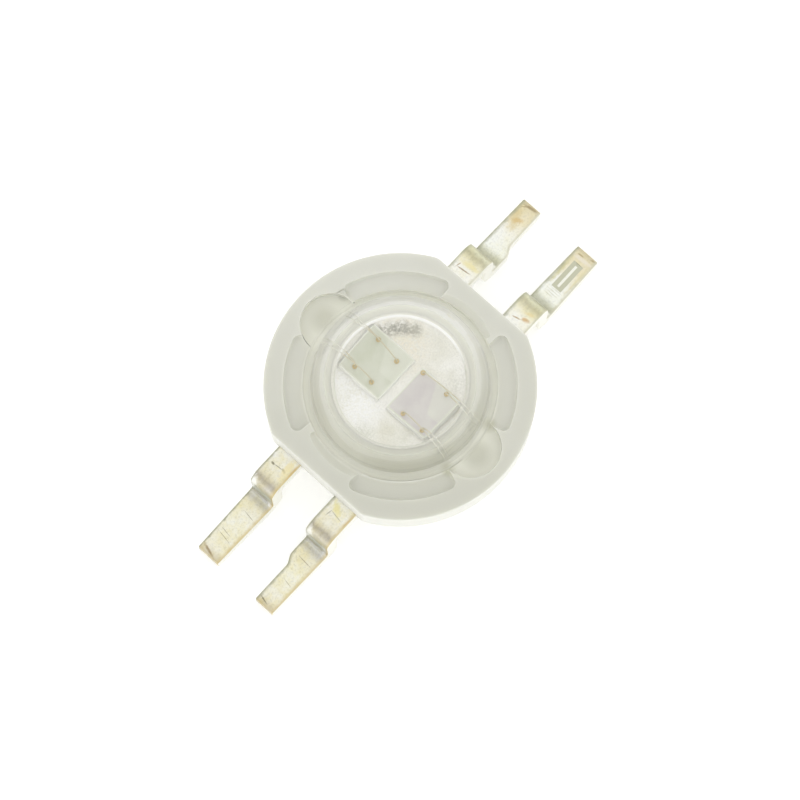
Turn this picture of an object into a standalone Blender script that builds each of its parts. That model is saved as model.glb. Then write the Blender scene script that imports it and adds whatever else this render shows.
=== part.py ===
"""A four-lead power LED emitter: two chips in a silvered cup under a clear lens.

Units are metres and +Z is up. The origin is the centre of the heat slug's underside,
which lies in one plane with the undersides of the leads' feet. The leads run along X,
and the two chips lie side by side along Y.
"""
import math

import bmesh
import bpy
from mathutils import Vector
from mathutils.geometry import interpolate_bezier

MM = 0.001

# Fits and fineness
CLEARANCE = 0.01 * MM          # left between pieces that touch or are moulded round each other
MERGE_DISTANCE = 0.0005 * MM
TURNED_STEPS = 48
ARC_STEP = math.radians(5.0)
BEYOND = 1.0 * MM              # how far a cutter runs past what it cuts

# Chips
DIE_SIDE = 1.08 * MM
DIE_GAP = 0.22 * MM
DIE_THICKNESS = 0.12 * MM
ADHESIVE_THICKNESS = 0.02 * MM
ADHESIVE_MARGIN = 0.012 * MM   # the adhesive shows this far round a chip

# Leads
LEAD_TOP = 1.90 * MM           # top face of the flat inner part, level with the trough's floor
LEAD_THICKNESS = 0.40 * MM
LEAD_WIDTH = 0.90 * MM
LEAD_PITCH = 2.20 * MM
ARM_OUTER_GAP = 0.05 * MM      # from an arm to the trough's outer wall
ARM_INNER_GAP = 0.10 * MM      # from an arm to the collar
ARM_END_GAP = 0.30 * MM        # between the ends of two facing arms
DROP_OFFSET = 1.275 * MM       # from the housing's flat to the outside of the drop
FOOT_LENGTH = 2.39 * MM        # from the outside of the drop to the tip
UPPER_BEND_INSIDE = 0.06 * MM
LOWER_BEND_INSIDE = 0.14 * MM
FOOT_TAPER = 0.04 * MM         # each side of a full-width foot, at the tip
SHOULDER_OFFSET = 0.64 * MM    # from the outside of the drop to the step in a narrow foot
SHOULDER_LENGTH = 0.42 * MM
SHOULDER_STEP = 0.15 * MM
MARK_OFFSET = 0.92 * MM        # from the outside of the drop to the coined mark
MARK_LENGTH = 1.04 * MM
MARK_WIDTH = 0.36 * MM
MARK_DEPTH = 0.07 * MM
MARK_RIB_WIDTH = 0.07 * MM
MARK_RIB_MARGIN = 0.10 * MM

# Heat slug, from the cup outwards and down
CUP_MARGIN = 0.0373 * MM       # of the cup's floor, past the corners of the chips
CUP_SLOPE = 0.06 * MM          # the cup is this much wider at its rim
CUP_LIP = 0.08 * MM
CUP_DEPTH = 0.33 * MM
CUP_RISE = 0.95 * MM           # the cup's rim stands this high above the leads
SHOULDER_WIDTH = 0.85 * MM
SHOULDER_COVER = 0.28 * MM     # plastic between the slug's shoulder and the leads
GROOVE_DEPTH = 0.20 * MM       # the plastic locks into this groove
GROOVE_WIDTH = 0.22 * MM
SLUG_BASE_LIP = 0.45 * MM
SLUG_BASE_THICKNESS = 0.62 * MM
SLUG_CHAMFER = 0.06 * MM

# Housing, from the slug's neck outwards
COLLAR_WALL = 0.19 * MM        # plastic round the slug's neck
COLLAR_DROP = 0.10 * MM        # from the cup's rim down to the collar's top
TROUGH_WIDTH = 0.75 * MM       # the wires are stitched in the trough round the collar
TROUGH_DEPTH = 0.55 * MM
RECESS_DEPTH = 0.40 * MM       # the lens's flange and ears lie in this recess
CRESCENT_WIDTH = 0.19 * MM     # the recess is this much wider beside the flats
CRESCENT_HALF_ANGLE = math.radians(18.0)
LEDGE_WIDTH = 0.55 * MM        # four shallow arc ledges round the recess
LEDGE_DEPTH = 0.15 * MM
LEDGE_HALF_ANGLE = math.radians(26.5)
RIM_WIDTH = 0.58 * MM          # which makes the housing 8.0 mm across
FLAT_DEPTH = 0.415 * MM        # cut from the round by each of the two flats
FLAT_CORNER_RADIUS = 0.4 * MM
TOP_EDGE_BEVEL = 0.05 * MM
BASE_INSET = 0.26 * MM         # the lower mould half is this much narrower all round
BASE_DRAFT = 0.06 * MM         # and its wall leans in by this much at the bottom
BASE_GRIP = 0.17 * MM          # the plastic reaches this far down round the slug's base

# Lens
LENS_OVERHANG = 0.37 * MM      # the lens reaches in over the trough by this much
LENS_WALL = 0.60 * MM
DOME_CENTRE_RISE = 0.10 * MM   # the dome's centre lies this high above the lens's seat
FLANGE_LIP = 0.14 * MM
FLANGE_HEIGHT = 0.75 * MM
FLANGE_BEVEL = 0.05 * MM
LENS_SIDE_GAP = 0.05 * MM      # loose fit of the flange and the ears in the housing
EAR_LOBE_RADIUS = 0.88 * MM
EAR_WALL = 0.32 * MM           # of the housing, past the tip of an ear's pocket
EAR_FILLET = 0.35 * MM
EAR_DROP = 0.06 * MM           # from the housing's top down to the ears'
EAR_SINK = 0.02 * MM           # the ears' fillets run this far into the flange

# Bond wires
WIRE_RADIUS = 0.016 * MM
BALL_FACTOR = 3.2              # a ball bond's radius in wire radii
BALL_HEIGHT = 0.03 * MM
NECK_HEIGHT = 0.10 * MM
LOOP_RISE = 0.42 * MM          # how high a wire heads above its neck
LOOP_CLEAR = 0.50 * MM         # and above the cup's rim on its way down
LOOP_POINTS = 11
STITCH_GAP = 0.26 * MM         # from the collar to the nearer stitches
STITCH_SPREAD = 0.12 * MM      # from those to the farther ones
WIRE_FOOT = 0.07 * MM

# The ball bonds of each chip: place on the chip in shares of its half side, and the angle
# of the stitch round the slug. Nearer and farther stitches take turns.
BONDS_OF_DIE = {
    1: ((0.61, 0.54, 10.6), (0.41, -0.61, 13.9), (-0.52, 0.43, -7.9), (-0.67, -0.44, -11.1)),
    2: ((0.81, -0.30, 14.8), (0.78, 0.74, 17.9), (-0.78, -0.70, -12.4), (-0.74, 0.33, -15.6)),
}

# Heights that follow from the sizes above
LEAD_BOTTOM = LEAD_TOP - LEAD_THICKNESS
PARTING_HEIGHT = LEAD_TOP - LEAD_THICKNESS / 2
SLUG_TOP = LEAD_TOP + CUP_RISE
SLUG_SHOULDER = LEAD_BOTTOM - SHOULDER_COVER
CUP_FLOOR = SLUG_TOP - CUP_DEPTH
ADHESIVE_BOTTOM = CUP_FLOOR + CLEARANCE
DIE_BOTTOM = ADHESIVE_BOTTOM + ADHESIVE_THICKNESS + CLEARANCE
DIE_TOP = DIE_BOTTOM + DIE_THICKNESS
COLLAR_TOP = SLUG_TOP - COLLAR_DROP
LENS_SEAT = LEAD_TOP + TROUGH_DEPTH
LENS_BOTTOM = LENS_SEAT + CLEARANCE
BODY_TOP = LENS_SEAT + RECESS_DEPTH
HOUSING_BOTTOM = SLUG_BASE_THICKNESS - BASE_GRIP
DOME_CENTRE = LENS_SEAT + DOME_CENTRE_RISE
FLANGE_TOP = LENS_SEAT + FLANGE_HEIGHT
EAR_TOP = BODY_TOP - EAR_DROP

# Distances from the axis that follow from them, from the inside out
DIE_PITCH = DIE_SIDE + DIE_GAP
CHIPS_CORNER = math.hypot(DIE_SIDE / 2 + ADHESIVE_MARGIN, DIE_PITCH / 2 + DIE_SIDE / 2 + ADHESIVE_MARGIN)
CUP_FLOOR_RADIUS = CHIPS_CORNER + CUP_MARGIN
CUP_RIM_RADIUS = CUP_FLOOR_RADIUS + CUP_SLOPE
SLUG_NECK_RADIUS = CUP_RIM_RADIUS + CUP_LIP
SLUG_BODY_RADIUS = SLUG_NECK_RADIUS + SHOULDER_WIDTH
SLUG_BASE_RADIUS = SLUG_BODY_RADIUS + SLUG_BASE_LIP
COLLAR_RADIUS = SLUG_NECK_RADIUS + CLEARANCE + COLLAR_WALL
TROUGH_RADIUS = COLLAR_RADIUS + TROUGH_WIDTH
ARM_INNER_RADIUS = COLLAR_RADIUS + ARM_INNER_GAP
ARM_OUTER_RADIUS = TROUGH_RADIUS - ARM_OUTER_GAP
HOLLOW_RADIUS = TROUGH_RADIUS - LENS_OVERHANG
DOME_RADIUS = HOLLOW_RADIUS + LENS_WALL
FLANGE_RADIUS = DOME_RADIUS + FLANGE_LIP
RECESS_RADIUS = FLANGE_RADIUS + LENS_SIDE_GAP
CRESCENT_RADIUS = RECESS_RADIUS + CRESCENT_WIDTH
LEDGE_RADIUS = RECESS_RADIUS + LEDGE_WIDTH
BODY_RADIUS = LEDGE_RADIUS + RIM_WIDTH
FLAT_DISTANCE = BODY_RADIUS - FLAT_DEPTH
EAR_CENTRE = BODY_RADIUS - EAR_WALL - LENS_SIDE_GAP - EAR_LOBE_RADIUS
DROP_REACH = FLAT_DISTANCE + DROP_OFFSET
TIP_REACH = DROP_REACH + FOOT_LENGTH


def empty_scene():
    for old in list(bpy.data.objects):
        bpy.data.objects.remove(old, do_unlink=True)


def new_collection(name):
    collection = bpy.data.collections.new(name)
    bpy.context.scene.collection.children.link(collection)
    return collection


empty_scene()
PARTS = new_collection("power_led_emitter")
CUTTERS = new_collection("cutters")


def make_material(name, colour, roughness, metallic=0.0, transmission=0.0):
    material = bpy.data.materials.new(name)
    material.use_nodes = True
    shader = material.node_tree.nodes["Principled BSDF"]
    shader.inputs["Base Color"].default_value = (*colour, 1.0)
    shader.inputs["Roughness"].default_value = roughness
    shader.inputs["Metallic"].default_value = metallic
    shader.inputs["Transmission Weight"].default_value = transmission
    return material


def finish_piece(piece, material):
    """Applies a piece's modifiers, and gives it its material and smooth shading where it is round."""
    tools = [modifier.object for modifier in piece.modifiers if modifier.type == "BOOLEAN"]
    bpy.context.view_layer.update()
    evaluated = piece.evaluated_get(bpy.context.evaluated_depsgraph_get())
    mesh = bpy.data.meshes.new_from_object(evaluated)
    mesh.name = piece.name
    piece.modifiers.clear()
    piece.data = mesh
    for tool in tools:
        bpy.data.objects.remove(tool, do_unlink=True)
    mesh.materials.clear()
    mesh.materials.append(material)
    mesh.shade_smooth()
    mesh.set_sharp_from_angle(angle=math.radians(30.0))


def arc(centre, radius, start, end, step=ARC_STEP):
    """Points on a circle in the outline's plane, both ends included."""
    count = max(2, math.ceil(abs(end - start) / step) + 1)
    points = []
    for index in range(count):
        angle = start + (end - start) * index / (count - 1)
        points.append((centre[0] + radius * math.cos(angle), centre[1] + radius * math.sin(angle)))
    return points


def mesh_object(name, mesh, collection):
    solid = bpy.data.objects.new(name, mesh)
    collection.objects.link(solid)
    return solid


def curve_to_solid(guide, name, collection):
    """Makes a closed mesh object of a filled or bevelled curve, and removes the curve."""
    bpy.context.scene.collection.objects.link(guide)
    bpy.context.view_layer.update()
    evaluated = guide.evaluated_get(bpy.context.evaluated_depsgraph_get())
    mesh = bpy.data.meshes.new_from_object(evaluated)
    mesh.name = name
    sheet = bmesh.new()
    sheet.from_mesh(mesh)
    bmesh.ops.remove_doubles(sheet, verts=sheet.verts, dist=MERGE_DISTANCE)
    sheet.to_mesh(mesh)
    sheet.free()
    solid = mesh_object(name, mesh, collection)
    solid.matrix_world = guide.matrix_world
    curve = guide.data
    bpy.data.objects.remove(guide, do_unlink=True)
    bpy.data.curves.remove(curve)
    return solid


def extruded(name, outline, half_depth, location, collection, rotation=(0.0, 0.0, 0.0)):
    """A flat outline, filled and given a thickness on both sides of its plane."""
    curve = bpy.data.curves.new(name, "CURVE")
    curve.dimensions = "2D"
    curve.fill_mode = "BOTH"
    curve.extrude = half_depth
    spline = curve.splines.new("POLY")
    spline.points.add(len(outline) - 1)
    for point, (x, y) in zip(spline.points, outline):
        point.co = (x, y, 0.0, 1.0)
    spline.use_cyclic_u = True
    guide = bpy.data.objects.new(name + "_guide", curve)
    guide.location = location
    guide.rotation_euler = rotation
    return curve_to_solid(guide, name, collection)


def slab(name, outline, bottom, top, collection):
    """A flat outline in XY made solid between two heights."""
    middle = (0.0, 0.0, (bottom + top) / 2)
    return extruded(name, outline, (top - bottom) / 2, middle, collection)


def turned(name, profile, collection):
    """A solid of revolution about Z. The profile runs from the axis, down the outside, to the axis."""
    mesh = bpy.data.meshes.new(name)
    edges = [(index, index + 1) for index in range(len(profile) - 1)]
    mesh.from_pydata([(radius, 0.0, height) for radius, height in profile], edges, [])
    solid = mesh_object(name, mesh, collection)
    screw = solid.modifiers.new("Turn", "SCREW")
    screw.axis = "Z"
    screw.steps = TURNED_STEPS
    screw.render_steps = TURNED_STEPS
    screw.use_merge_vertices = True
    screw.merge_threshold = MERGE_DISTANCE
    return solid


def box(name, size, centre, collection):
    mesh = bpy.data.meshes.new(name)
    form = bmesh.new()
    bmesh.ops.create_cube(form, size=1.0)
    bmesh.ops.scale(form, vec=Vector(size), verts=form.verts)
    form.to_mesh(mesh)
    form.free()
    solid = mesh_object(name, mesh, collection)
    solid.location = centre
    return solid


def combine(target, operation, tool):
    """Adds a Boolean to a piece. Its tool is hidden and stays out of the build."""
    tool.hide_render = True
    tool.display_type = "WIRE"
    boolean = target.modifiers.new(tool.name, "BOOLEAN")
    boolean.operation = operation
    boolean.solver = "EXACT"
    boolean.object = tool


def sector(inner, outer, middle, half_angle):
    """The outline of a piece of a ring."""
    outside = arc((0.0, 0.0), outer, middle - half_angle, middle + half_angle)
    inside = arc((0.0, 0.0), inner, middle + half_angle, middle - half_angle)
    return outside + inside


def flatted_circle(radius, half_flat, corner):
    """A circle with a flat at +X and at -X, and a rounded corner at each end of a flat."""
    corner_x = half_flat - corner
    corner_y = math.sqrt((radius - corner) ** 2 - corner_x ** 2)
    turn = math.atan2(corner_y, corner_x)
    outline = arc((corner_x, corner_y), corner, 0.0, turn)
    outline += arc((0.0, 0.0), radius, turn, math.pi - turn)[1:]
    outline += arc((-corner_x, corner_y), corner, math.pi - turn, math.pi)[1:]
    outline += arc((-corner_x, -corner_y), corner, math.pi, math.pi + turn)
    outline += arc((0.0, 0.0), radius, math.pi + turn, 2 * math.pi - turn)[1:]
    outline += arc((corner_x, -corner_y), corner, 2 * math.pi - turn, 2 * math.pi)[1:]
    return outline


def ear_outline(ring_radius, lobe_radius, fillet, side):
    """A rounded lobe on a ring, with a fillet on each side. Side is +1 for +Y and -1 for -Y."""
    centre = EAR_CENTRE
    reach = ring_radius + fillet
    fillet_y = (reach ** 2 - (lobe_radius + fillet) ** 2 + centre ** 2) / (2 * centre)
    fillet_x = math.sqrt(reach ** 2 - fillet_y ** 2)
    lobe_start = math.atan2(fillet_y - centre, fillet_x)
    ring_side = math.atan2(-fillet_y, -fillet_x) + 2 * math.pi
    lobe_side = lobe_start + math.pi
    right = arc((fillet_x, fillet_y), fillet, ring_side, lobe_side, step=2 * ARC_STEP)
    tip = arc((0.0, centre), lobe_radius, lobe_start, math.pi - lobe_start, step=2 * ARC_STEP)
    left = [(-x, y) for x, y in reversed(right)]
    root = (HOLLOW_RADIUS + FLANGE_RADIUS) / 2
    width = right[0][0]
    outline = right + tip[1:-1] + left + [(-width, root), (width, root)]
    return [(side * x, side * y) for x, y in outline]


def slug_profile(clearance=0.0):
    """The slug's outside, from its neck's top down to its base, grown by a clearance."""
    neck = SLUG_NECK_RADIUS + clearance
    body = SLUG_BODY_RADIUS + clearance
    base = SLUG_BASE_RADIUS + clearance
    shoulder = SLUG_SHOULDER + clearance
    groove_middle = (SLUG_SHOULDER + SLUG_BASE_THICKNESS) / 2
    groove_top = groove_middle + GROOVE_WIDTH / 2 - clearance
    groove_bottom = groove_middle - GROOVE_WIDTH / 2 + clearance
    base_top = SLUG_BASE_THICKNESS + clearance
    return [
        (neck, shoulder),
        (body - SLUG_CHAMFER, shoulder),
        (body, shoulder - SLUG_CHAMFER),
        (body, groove_top),
        (body - GROOVE_DEPTH, groove_top),
        (body - GROOVE_DEPTH, groove_bottom),
        (body, groove_bottom),
        (body, base_top),
        (base - SLUG_CHAMFER, base_top),
        (base, base_top - SLUG_CHAMFER),
    ]


def arm_outline(side_x, side_y, grow=0.0, tip=TIP_REACH, narrow_foot=False):
    """A lead seen from above: the arm round the slug's neck, then the straight part to its tip."""
    inner_y = LEAD_PITCH / 2 - LEAD_WIDTH / 2 - grow
    outer_y = LEAD_PITCH / 2 + LEAD_WIDTH / 2 + grow
    outer_radius = ARM_OUTER_RADIUS + grow
    inner_radius = ARM_INNER_RADIUS - grow
    end_x = ARM_END_GAP / 2 - grow
    foot_start = DROP_REACH + LOWER_BEND_INSIDE
    outline = [(tip, outer_y - FOOT_TAPER), (foot_start, outer_y)]
    outline += arc((0.0, 0.0), outer_radius, math.asin(outer_y / outer_radius), math.acos(end_x / outer_radius))
    outline += arc((0.0, 0.0), inner_radius, math.acos(end_x / inner_radius), math.asin(inner_y / inner_radius))
    outline += [(foot_start, inner_y)]
    if narrow_foot:
        outline += shoulder_curve(inner_y)
        outline += [(tip, inner_y + SHOULDER_STEP)]
    else:
        outline += [(tip, inner_y + FOOT_TAPER)]
    return [(side_x * x, side_y * y) for x, y in outline]


def shoulder_curve(inner_y, count=7):
    """The smooth step where a foot gets narrower, on the side that faces its neighbour."""
    start = DROP_REACH + SHOULDER_OFFSET
    points = []
    for index in range(count):
        share = index / (count - 1)
        rise = (1 - math.cos(math.pi * share)) / 2
        points.append((start + SHOULDER_LENGTH * share, inner_y + SHOULDER_STEP * rise))
    return points


def lead_side_profile(side_x):
    """A lead seen from the side: flat in the housing, down, and out along the foot."""
    thick = LEAD_THICKNESS
    upper_outside = UPPER_BEND_INSIDE + thick
    upper = (DROP_REACH - upper_outside, LEAD_TOP - upper_outside)
    lower = (DROP_REACH + LOWER_BEND_INSIDE, thick + LOWER_BEND_INSIDE)
    quarter = math.pi / 2
    step = 3 * ARC_STEP
    outline = [(0.0, LEAD_TOP)]
    outline += arc(upper, upper_outside, quarter, 0.0, step)
    outline += arc(lower, LOWER_BEND_INSIDE, math.pi, math.pi + quarter, step)
    outline += [(TIP_REACH, thick), (TIP_REACH, 0.0)]
    outline += arc(lower, LOWER_BEND_INSIDE + thick, math.pi + quarter, math.pi, step)
    outline += arc(upper, UPPER_BEND_INSIDE, 0.0, quarter, step)
    outline += [(0.0, LEAD_BOTTOM)]
    return [(side_x * x, z) for x, z in outline]


# The sides of the emitter that each lead leaves on, and whether its foot is narrow
LEADS = {
    1: (1, 1, True),
    2: (1, -1, False),
    3: (-1, 1, False),
    4: (-1, -1, True),
}


def build_housing():
    """The white body: moulded in one shot round the slug and the four leads."""
    plastic = make_material("moulded_white_plastic", (0.66, 0.66, 0.58), 0.55)
    outline = flatted_circle(BODY_RADIUS, FLAT_DISTANCE, FLAT_CORNER_RADIUS)
    housing = slab("housing", outline, PARTING_HEIGHT, BODY_TOP, PARTS)
    edge = housing.modifiers.new("Edge", "BEVEL")
    edge.width = TOP_EDGE_BEVEL
    edge.segments = 2
    edge.limit_method = "ANGLE"
    edge.angle_limit = math.radians(60.0)

    base_outline = flatted_circle(BODY_RADIUS - BASE_INSET, FLAT_DISTANCE - BASE_INSET, FLAT_CORNER_RADIUS)
    base_top = (PARTING_HEIGHT + BODY_TOP) / 2
    base = slab("lower_mould_half", base_outline, HOUSING_BOTTOM, base_top, CUTTERS)
    draft = 1 - BASE_DRAFT / BODY_RADIUS
    for vertex in base.data.vertices:
        if vertex.co.z < 0:
            vertex.co.x *= draft
            vertex.co.y *= draft
    combine(housing, "UNION", base)

    above = BODY_TOP + BEYOND
    cavity = turned("cavity", [
        (0.0, above),
        (RECESS_RADIUS, above),
        (RECESS_RADIUS, LENS_SEAT),
        (TROUGH_RADIUS, LENS_SEAT),
        (TROUGH_RADIUS, LEAD_TOP),
        (COLLAR_RADIUS, LEAD_TOP),
        (COLLAR_RADIUS, COLLAR_TOP),
        (0.0, COLLAR_TOP),
    ], CUTTERS)
    combine(housing, "DIFFERENCE", cavity)

    neck = SLUG_NECK_RADIUS + CLEARANCE
    bore = [(0.0, above), (neck, above)] + slug_profile(CLEARANCE)
    bore += [(SLUG_BASE_RADIUS + CLEARANCE, -BEYOND), (0.0, -BEYOND)]
    combine(housing, "DIFFERENCE", turned("slug_bore", bore, CUTTERS))

    inside = FLANGE_RADIUS
    for index in range(4):
        middle = math.pi / 4 + index * math.pi / 2
        ledge = sector(inside, LEDGE_RADIUS, middle, LEDGE_HALF_ANGLE)
        tool = slab("ledge_%d" % (index + 1), ledge, BODY_TOP - LEDGE_DEPTH, above, CUTTERS)
        combine(housing, "DIFFERENCE", tool)
    for index in range(2):
        crescent = sector(inside, CRESCENT_RADIUS, index * math.pi, CRESCENT_HALF_ANGLE)
        tool = slab("crescent_%d" % (index + 1), crescent, LENS_SEAT, above, CUTTERS)
        combine(housing, "DIFFERENCE", tool)
    for side in (1, -1):
        lobe = EAR_LOBE_RADIUS + LENS_SIDE_GAP
        pocket = ear_outline(RECESS_RADIUS - EAR_SINK, lobe, EAR_FILLET - LENS_SIDE_GAP, side)
        tool = slab("ear_pocket_%+d" % side, pocket, LENS_SEAT, above, CUTTERS)
        combine(housing, "DIFFERENCE", tool)
    slot_bottom = LEAD_BOTTOM - CLEARANCE
    for number, (side_x, side_y, _) in LEADS.items():
        slot = arm_outline(side_x, side_y, grow=CLEARANCE)
        tool = slab("lead_slot_%d" % number, slot, slot_bottom, LEAD_TOP + CLEARANCE, CUTTERS)
        combine(housing, "DIFFERENCE", tool)
    finish_piece(housing, plastic)


def build_slug():
    """The heat slug: turned copper, silver plated, with the chips' cup in its top."""
    silver = make_material("silver_plated_copper", (0.90, 0.89, 0.85), 0.25, metallic=1.0)
    profile = [
        (0.0, CUP_FLOOR),
        (CUP_FLOOR_RADIUS, CUP_FLOOR),
        (CUP_RIM_RADIUS, SLUG_TOP),
        (SLUG_NECK_RADIUS, SLUG_TOP),
    ]
    profile += slug_profile()
    profile += [
        (SLUG_BASE_RADIUS, SLUG_CHAMFER),
        (SLUG_BASE_RADIUS - SLUG_CHAMFER, 0.0),
        (0.0, 0.0),
    ]
    finish_piece(turned("heat_slug", profile, PARTS), silver)


def build_leads():
    """Four leads: stamped from one strip, silver plated, and bent down to their feet."""
    plating = make_material("tarnished_silver_plate", (0.82, 0.80, 0.66), 0.35, metallic=1.0)
    for number, (side_x, side_y, narrow_foot) in LEADS.items():
        name = "lead_%d" % number
        rotation = (math.pi / 2, 0.0, 0.0)
        depth = ARM_OUTER_RADIUS / 2 + BEYOND
        middle = (0.0, side_y * ARM_OUTER_RADIUS / 2, 0.0)
        lead = extruded(name, lead_side_profile(side_x), depth, middle, PARTS, rotation)
        plan = arm_outline(side_x, side_y, tip=TIP_REACH + CLEARANCE, narrow_foot=narrow_foot)
        combine(lead, "INTERSECT", slab(name + "_plan", plan, -BEYOND, LEAD_TOP + BEYOND, CUTTERS))
        if number == 2:
            cut_polarity_mark(lead, side_x, side_y)
        finish_piece(lead, plating)


def cut_polarity_mark(lead, side_x, side_y):
    """The mark coined into one foot: a shallow rectangle with a rib left along its middle."""
    x = side_x * (DROP_REACH + MARK_OFFSET + MARK_LENGTH / 2)
    y = side_y * LEAD_PITCH / 2
    strip = (MARK_WIDTH - MARK_RIB_WIDTH) / 2
    height = BEYOND
    z = LEAD_THICKNESS - MARK_DEPTH + height / 2
    for side in (1, -1):
        place = (x, y + side * (MARK_RIB_WIDTH + strip) / 2, z)
        tool = box("mark_strip_%+d" % side, (MARK_LENGTH, strip, height), place, CUTTERS)
        combine(lead, "DIFFERENCE", tool)
    for side in (1, -1):
        place = (x + side * (MARK_LENGTH - MARK_RIB_MARGIN) / 2, y, z)
        size = (MARK_RIB_MARGIN, MARK_WIDTH * 0.98, height)
        combine(lead, "DIFFERENCE", box("mark_end_%+d" % side, size, place, CUTTERS))


def build_chips():
    """Two sawn chips, each glued to the cup's floor on a thin bed of adhesive."""
    chip = make_material("led_chip", (0.72, 0.73, 0.68), 0.15)
    adhesive = make_material("silver_epoxy", (0.60, 0.60, 0.58), 0.5)
    for number, side in ((1, 1), (2, -1)):
        y = side * DIE_PITCH / 2
        size = (DIE_SIDE, DIE_SIDE, DIE_THICKNESS)
        die = box("die_%d" % number, size, (0.0, y, DIE_BOTTOM + DIE_THICKNESS / 2), PARTS)
        finish_piece(die, chip)
        bed = DIE_SIDE + 2 * ADHESIVE_MARGIN
        size = (bed, bed, ADHESIVE_THICKNESS)
        middle = (0.0, y, ADHESIVE_BOTTOM + ADHESIVE_THICKNESS / 2)
        finish_piece(box("die_attach_%d" % number, size, middle, PARTS), adhesive)


def wire_path(ball, stitch):
    """Points of one bond wire with their radius in wire radii: ball, neck, loop and stitch."""
    start = DIE_TOP + CLEARANCE
    neck = Vector((*ball, start + NECK_HEIGHT))
    level = LEAD_TOP + CLEARANCE + WIRE_RADIUS
    outward = Vector((0.0, math.copysign(1.0, stitch[1]), 0.0))
    landing = Vector((*stitch, level))
    above_neck = neck + Vector((0.0, 0.0, LOOP_RISE))
    above_landing = landing + Vector((0.0, 0.0, CUP_RISE + LOOP_CLEAR)) - outward * WIRE_FOOT
    points = [
        (Vector((*ball, start)), BALL_FACTOR),
        (Vector((*ball, start + BALL_HEIGHT)), BALL_FACTOR),
        (Vector((*ball, start + BALL_HEIGHT * 1.5)), 1.3),
    ]
    for place in interpolate_bezier(neck, above_neck, above_landing, landing, LOOP_POINTS):
        points.append((place, 1.0))
    points.append((landing + outward * WIRE_FOOT, 1.0))
    return points


def wire_solid(name, points, radius, collection):
    curve = bpy.data.curves.new(name, "CURVE")
    curve.dimensions = "3D"
    curve.bevel_depth = radius
    curve.bevel_resolution = 2
    curve.use_fill_caps = True
    spline = curve.splines.new("POLY")
    spline.points.add(len(points) - 1)
    for point, (place, factor) in zip(spline.points, points):
        point.co = (*place, 1.0)
        point.radius = factor
    guide = bpy.data.objects.new(name + "_guide", curve)
    return curve_to_solid(guide, name, collection)


def bond_wires():
    """The number of each bond wire, with its path from a chip to a lead's arm."""
    number = 0
    for die, bonds in BONDS_OF_DIE.items():
        side = 1 if die == 1 else -1
        for index, (share_x, share_y, stitch_angle) in enumerate(bonds):
            number += 1
            ball = (share_x * DIE_SIDE / 2, side * DIE_PITCH / 2 + share_y * DIE_SIDE / 2)
            radius = COLLAR_RADIUS + STITCH_GAP + STITCH_SPREAD * (index % 2)
            angle = math.radians(stitch_angle)
            stitch = (radius * math.sin(angle), side * radius * math.cos(angle))
            yield number, wire_path(ball, stitch)


def build_wires():
    """Eight gold wires, ball bonded to the chips and stitched to the leads' arms."""
    gold = make_material("bond_gold", (0.85, 0.60, 0.25), 0.25, metallic=1.0)
    for number, points in bond_wires():
        finish_piece(wire_solid("bond_wire_%d" % number, points, WIRE_RADIUS, PARTS), gold)


def build_lens():
    """The clear cap: a dome on a flange, hollow below, with an ear at +Y and at -Y."""
    clear = make_material("clear_lens", (0.97, 0.98, 0.96), 0.03, transmission=1.0)
    rim_angle = math.asin((FLANGE_TOP - DOME_CENTRE) / DOME_RADIUS)
    centre = (0.0, DOME_CENTRE)
    half = math.pi / 2
    profile = [(0.0, DOME_CENTRE + DOME_RADIUS)]
    profile += arc(centre, DOME_RADIUS, half, rim_angle, step=1.3 * ARC_STEP)[1:]
    profile += [
        (FLANGE_RADIUS - FLANGE_BEVEL, FLANGE_TOP),
        (FLANGE_RADIUS, FLANGE_TOP - FLANGE_BEVEL),
        (FLANGE_RADIUS, LENS_BOTTOM),
        (HOLLOW_RADIUS, LENS_BOTTOM),
    ]
    profile += arc(centre, HOLLOW_RADIUS, 0.0, half, step=2 * ARC_STEP)[:-1]
    profile += [(0.0, DOME_CENTRE + HOLLOW_RADIUS)]
    lens = turned("lens", profile, PARTS)
    for side in (1, -1):
        outline = ear_outline(FLANGE_RADIUS - EAR_SINK, EAR_LOBE_RADIUS, EAR_FILLET, side)
        combine(lens, "UNION", slab("ear_%+d" % side, outline, LENS_BOTTOM, EAR_TOP, CUTTERS))
    finish_piece(lens, clear)


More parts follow.
